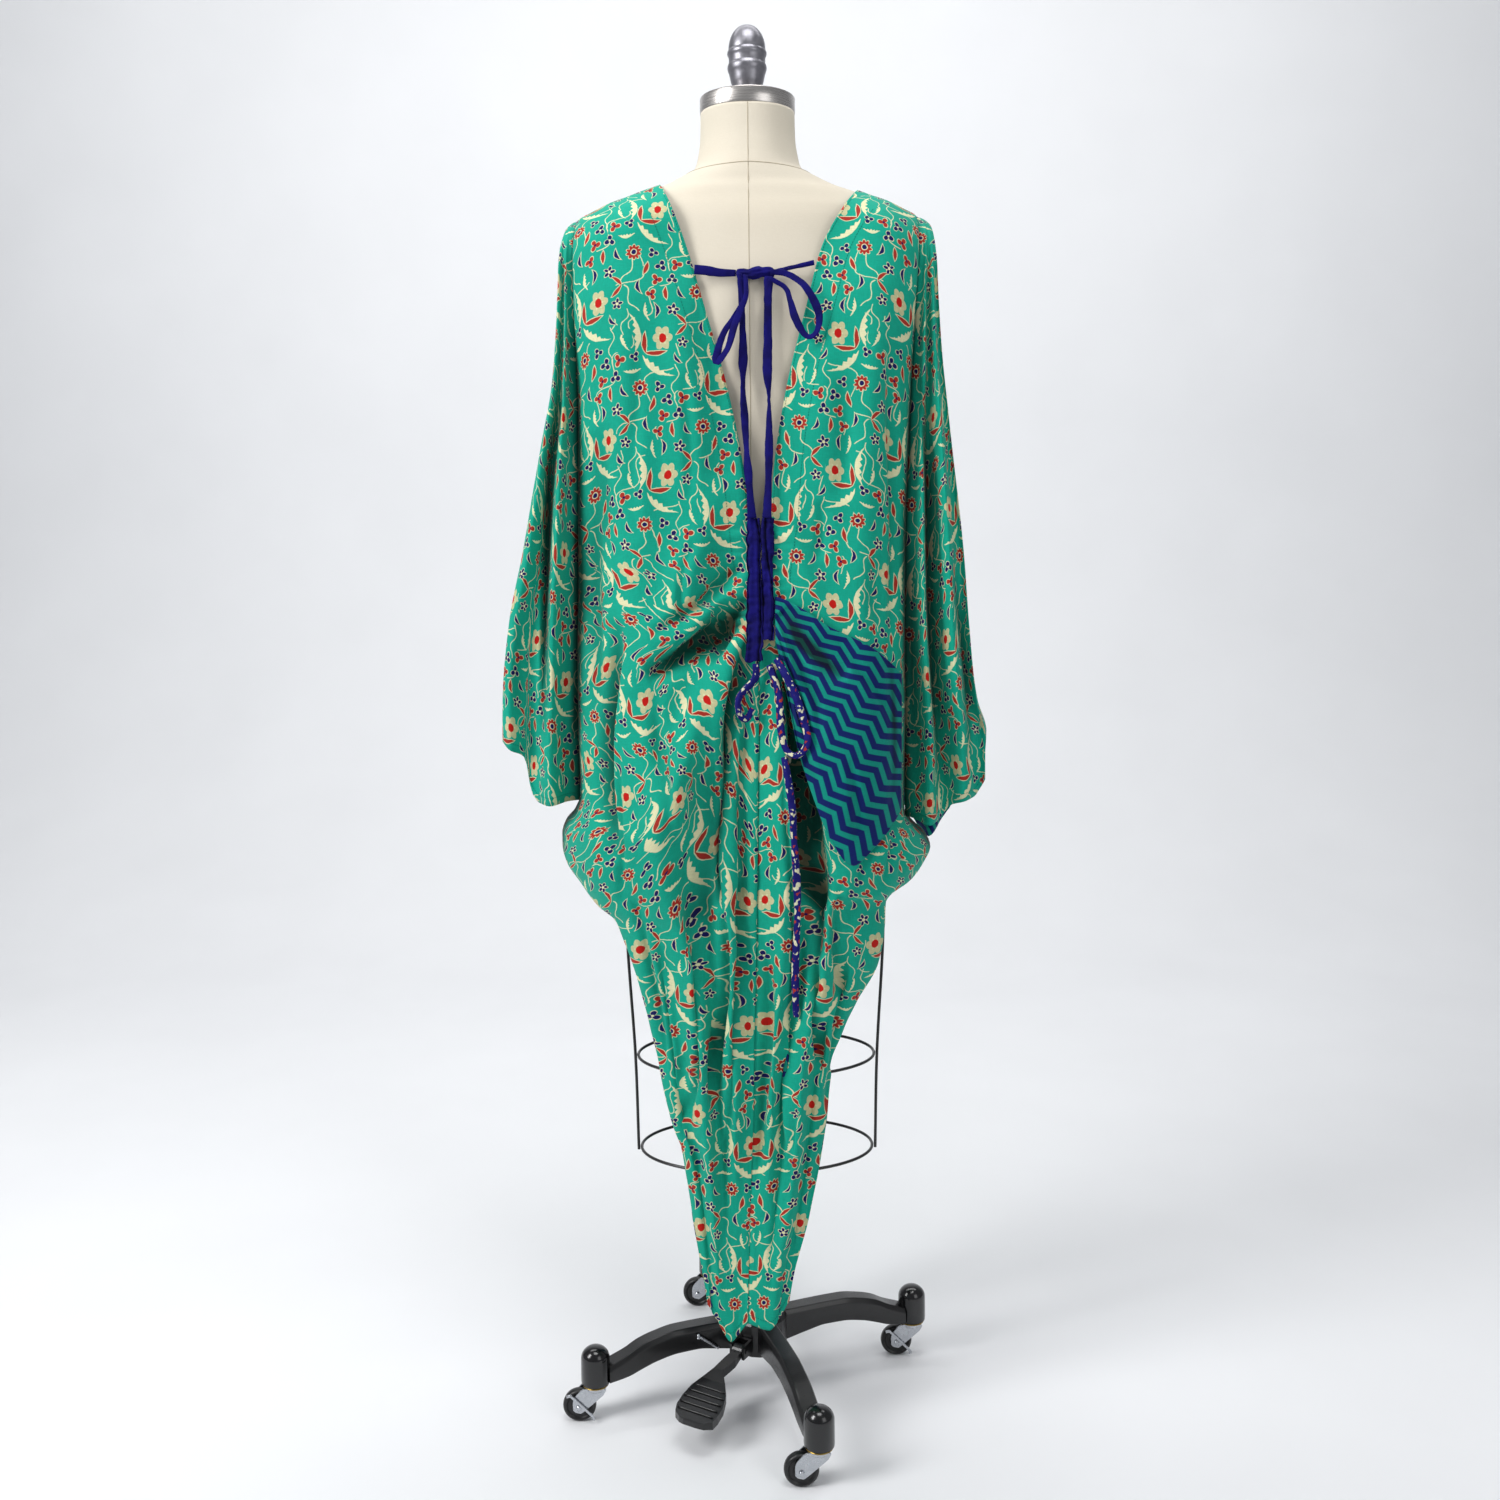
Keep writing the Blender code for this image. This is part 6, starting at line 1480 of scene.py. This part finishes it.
# Cast base: four arms that swell and dip towards the castors
base = {
    "axis": (0.0010, 0.0080), "reach": 0.2100, "half": 0.0125, "chamfer": 0.0065,
    "angles": {"left": 199.5, "right": 19.5, "near": 288.0, "far": 108.0},
    # distance from the axis, height of the top and bottom
    "arm": millimetres("""
        20 98.5 58, 60 99.3 66.5, 85 99.6 70.5, 109 99.3 70, 135 95 65.5, 155 89 59, 172 80 53,
        196 70 49.5"""),
}


def aroundAxis(angle, out, aside, height):
    # a point of the base, out from its axis along an angle in degrees and aside from that line
    turn = math.radians(angle)
    return (base["axis"][0] + out * math.cos(turn) - aside * math.sin(turn),
            base["axis"][1] + out * math.sin(turn) + aside * math.cos(turn), height)


def addArm(name, angle):
    topAt, lowAt = linesOf(base["arm"])
    stations = np.linspace(0.020, 0.196, 60)
    points = []
    for out in stations:
        top, low = float(topAt(out)), float(lowAt(out))
        half = base["half"] * (1.0 + 0.10 * math.exp(-((out - 0.196) / 0.02) ** 2))
        cut = base["chamfer"]
        section = [(half * 0.93, low), (half, low + 0.003), (half, top - cut * 0.9), (half - cut * 0.5, top)]
        section = [(-aside, height) for aside, height in section] + section[::-1]
        points += [aroundAxis(angle, out, aside, height) for aside, height in section]
    piece = addPiece("base_arm_" + name, points, ringFaces(len(stations), 8), enamelIron, "base")
    piece.data.set_sharp_from_angle(angle=math.radians(32))
    bevel(piece, "cast edges", 0.0012, 25).harden_normals = True
    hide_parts("arm_" + name)


castor = {
    "wheel": 0.0200, "half": 0.0062, "trail": 0.0200,
    "cheekIn": 0.0072, "cheekOut": 0.0090, "top": 0.0945, "dome": (0.0172, 0.0150),
    # outline of a cheek: distance from the stem, height
    "cheek": millimetres("""
        -27.2 16.5, -24.5 14, -20 12.8, -15 14.2, 6 32.5, 10.5 37.5, 11.2 44, -12 44, -21.5 37.5, -27 29"""),
    # radius and height of the turned parts; the tread's height is how far it lies in from the wheel's side
    "crown": millimetres("0 45.2, 11.8 45.2, 12.4 44.6, 12.6 41.2, 11.8 40.2, 0 40.2"),
    "collar": millimetres("0 47.6, 15.2 47.6, 16 46.8, 15.6 45.8, 13 45.2, 0 45.2"),
    "rivet": millimetres("0 11.6, 2.4 11.6, 3.2 10.8, 3.4 9, 0 9"),
    "skirt": millimetres("17.4 70, 17.6 52, 17.2 49, 16 48.2, 0 48.2"),
    "tread": millimetres("""
        0 1.2, 5 1.2, 5.6 0.4, 8.5 0.4, 9.2 1.8, 14 2, 15.2 0.6, 16.5 0, 18.2 0.6, 19.4 2.1, 19.85 3.8,
        20 5"""),
}


def addCheeks(name, spot, body):
    # the fork's two pressed plates with their crown, collar and axle rivets
    points, faces = [], []
    outline = evenRoute([(a, 0, b) for a, b in castor["cheek"] + castor["cheek"][:1]], 0.0014)[:-1, [0, 2]]
    n = len(outline)
    for side in (-1, 1):
        first = len(points)
        for level in (castor["cheekIn"], castor["cheekOut"]):
            points += [(spot[0] + a, spot[1] + side * level, b) for a, b in outline]
        ring = [tuple(first + k for k in range(n)), tuple(first + n + k for k in range(n))[::-1]]
        ring += [(first + k, first + n + k, first + n + (k + 1) % n, first + (k + 1) % n) for k in range(n)]
        faces += ring if side > 0 else [face[::-1] for face in ring]
    piece = addPiece("fork_plates_" + name, points, faces, zincSteel, body, smooth=False)
    bevel(piece, "pressed edges", 0.0004, 60)
    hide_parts("castor_fork_" + name)
    addTurned("fork_crown_" + name, castor["crown"], zincSteel, body, (*spot[:2], 0), 36)
    addTurned("fork_collar_" + name, castor["collar"], brassRing, body, (*spot[:2], 0), 40)
    hub = (spot[0] - castor["trail"], spot[1], castor["wheel"])
    heads = (("near", [(r, -h) for r, h in reversed(castor["rivet"])]), ("far", castor["rivet"]))
    for where, head in heads:
        addTurned("fork_rivet_%s_%s" % (name, where), head, zincSteel, body, hub, 24, lying=True)


def addWheel(name, spot):
    hub = (spot[0] - castor["trail"], spot[1], castor["wheel"])
    edge = [(radius, castor["half"] - inset) for radius, inset in castor["tread"]]
    profile = edge + [(r, -h) for r, h in reversed(edge)]
    addTurned("wheel_" + name, profile, tyreRubber, "wheel_" + name, hub, 56,
              node="castor_wheel_" + name, lying=True)


for name, angle in base["angles"].items():
    addArm(name, angle)
    stem = aroundAxis(angle, base["reach"], 0, 0)
    dome = [(0, castor["top"])]
    dome += [(castor["dome"][0] * math.sin(t), castor["top"] - castor["dome"][1] * (1 - math.cos(t)))
             for t in np.linspace(0.12, math.pi / 2, 14)]
    addTurned("castor_cover_" + name, dome + castor["skirt"], glossPlastic, "base", stem, 44,
              node="castor_cap_" + name)
    addCheeks(name, stem, "fork_" + name)
    addWheel(name, stem)

# Brake lever: a bent strip
brake = {
    # distance from the stem, height
    "line": millimetres("-34.5 35.2, -30 36.2, -25.5 32.5, -4 10.5, -3 5"),
    # beside the wheel, above and below the line
    "section": millimetres("-11.7 1.6, -9.6 1.6, -9.6 -1.6, -11.7 -1.6"),
}
for name in ("left", "right"):
    stem = aroundAxis(base["angles"][name], base["reach"], 0, 0)
    strip = evenRoute([(a, 0, b) for a, b in brake["line"]], 0.0015)
    points = []
    for k, (a, _, b) in enumerate(strip):
        ahead = strip[min(k + 1, len(strip) - 1)] - strip[max(k - 1, 0)]
        ahead /= np.linalg.norm(ahead)
        for depth, thick in brake["section"]:
            points.append((stem[0] + a - ahead[2] * thick, stem[1] + depth, b + ahead[0] * thick))
    lever = addPiece("brake_strip_" + name, points, ringFaces(len(strip), 4), zincSteel, "fork_" + name,
                     smooth=False)
    bevel(lever, "rolled edges", 0.0005, 50)
    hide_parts("brake_lever_" + name)

# Release rod with a collared tip
release = {
    "rod": millimetres("-73.1 -35.8 90, -64 -31.8 82.2, -49.8 -25.3 69"), "radius": 0.0017,
    # radius, height
    "tip": millimetres("""
        0 3, 1 2.9, 1.9 2.3, 2.4 1.3, 2.4 0.3, 2 -0.8, 1.6 -1.2, 2.1 -1.6, 2.3 -2.2, 1.9 -2.8, 0 -2.9"""),
    "spot": (-0.0735, -0.0360, 0.0904),
}
addTube("release_rod", release["rod"], release["radius"], zincSteel, "base", 14, node="release_lever")
addTurned("release_tip", release["tip"], zincSteel, "base", release["spot"], 20)

# Pedal's treads: distance out from the pivot, left and right end, height
pedal = {
    "angle": 240.0, "radius": 0.0011,
    "treads": millimetres("""
        60 -27 15 -20.4, 71 -27.5 19.5 -21.3, 82 -27.2 22.5 -22.4, 93 -25.8 24.5 -23.4,
        104 -22.5 25 -24.4"""),
}
pedalPivot = aroundAxis(pedal["angle"], 0.0500, 0, 0.0720)
for number, (out, left, right, height) in enumerate(pedal["treads"]):
    turn = math.radians(pedal["angle"])
    line = [(pedalPivot[0] + out * math.cos(turn) - aside * math.sin(turn),
             pedalPivot[1] + out * math.sin(turn) + aside * math.cos(turn), pedalPivot[2] + height + 0.0001)
            for aside in (left, (left + right) / 2, right)]
    addTube("pedal_tread_%d" % (number + 1), line, pedal["radius"], enamelIron, "pedal", 8)

# Hard parts that keep their own solids
for name in ("hub", "pole", "pedal", "pedal_bracket"):
    solid = bpy.data.objects[name]
    for slot in solid.material_slots:
        slot.material = enamelIron
    bevel(solid, "soft edges", 0.0012, 40)
print("stand in place")

# Pale studio: a curved backdrop, one large soft light from the upper left and weak ones from the sides.
studio = {"paper": "#EDEEF0", "wide": 13.0, "near": -9.0, "far": 3.1, "bend": 1.4, "high": 5.0}


def addBackdrop():
    profile = [(studio["near"], 0.0)]
    for i in range(25):
        angle = math.pi / 2 * i / 24
        profile.append((studio["far"] - studio["bend"] + studio["bend"] * math.sin(angle),
                        studio["bend"] * (1 - math.cos(angle))))
    profile.append((studio["far"], studio["high"]))
    points = [(side * studio["wide"] / 2, y, z) for y, z in profile for side in (-1, 1)]
    faces = [(2 * i, 2 * i + 1, 2 * i + 3, 2 * i + 2) for i in range(len(profile) - 1)]
    mesh = bpy.data.meshes.new("paper_backdrop")
    mesh.from_pydata(points, [], faces)
    mesh.shade_smooth()
    paper, add, shader = newFinish("seamless paper")
    # matt white paper: lights the object from below
    where = add("TexCoord").node.outputs["Object"]
    mottle = add("TexNoise", where, 3.0, 2.0)
    tone = add("Mix RGBA", mottle, linear("#E6E7E9"), linear(studio["paper"]))
    setSockets(shader, {"Base Color": tone, "Roughness": 0.9, "Specular IOR Level": 0.1})
    mesh.materials.append(paper)
    backdrop = bpy.data.objects.new("paper_backdrop", mesh)
    bpy.context.scene.collection.objects.link(backdrop)


addBackdrop()

lamps = (
    # name, spot, aimed at, width and height, power in watts
    ("window_left", (-2.2, -1.3, 2.2), (0.0, 0.0, 0.95), (0.9, 1.6), 62.0),
    ("fill_right", (1.6, -2.0, 1.5), (0.0, 0.0, 0.9), (1.2, 1.6), 11.0),
    ("top_soft", (0.1, -0.7, 2.9), (0.0, 0.0, 0.9), (1.2, 0.8), 20.0),
    ("paper_wash", (0.0, 0.9, 3.6), (0.0, 3.0, 1.0), (4.0, 1.0), 60.0),
)
for name, spot, aim, size, power in lamps:
    lamp = bpy.data.lights.new(name, "AREA")
    lamp.shape = "RECTANGLE"
    lamp.size, lamp.size_y = size
    lamp.energy = power
    holder = bpy.data.objects.new(name, lamp)
    bpy.context.scene.collection.objects.link(holder)
    holder.location = spot
    holder.rotation_euler = (Vector(aim) - Vector(spot)).to_track_quat("-Z", "Y").to_euler()

# the room is pale where it is seen, and lights the object only weakly
sky = bpy.data.worlds.new("studio")
sky.use_nodes = True
room = sky.node_tree.nodes["Background"]
seen = addNode(sky.node_tree, "LightPath").node.outputs["Is Camera Ray"]
strength = addNode(sky.node_tree, "MapRange", seen, None, None, 0.31, 0.84)
room.inputs["Color"].default_value = linear("#EEF1F6")
sky.node_tree.links.new(strength, room.inputs["Strength"])
bpy.context.scene.world = sky
print("studio lit")
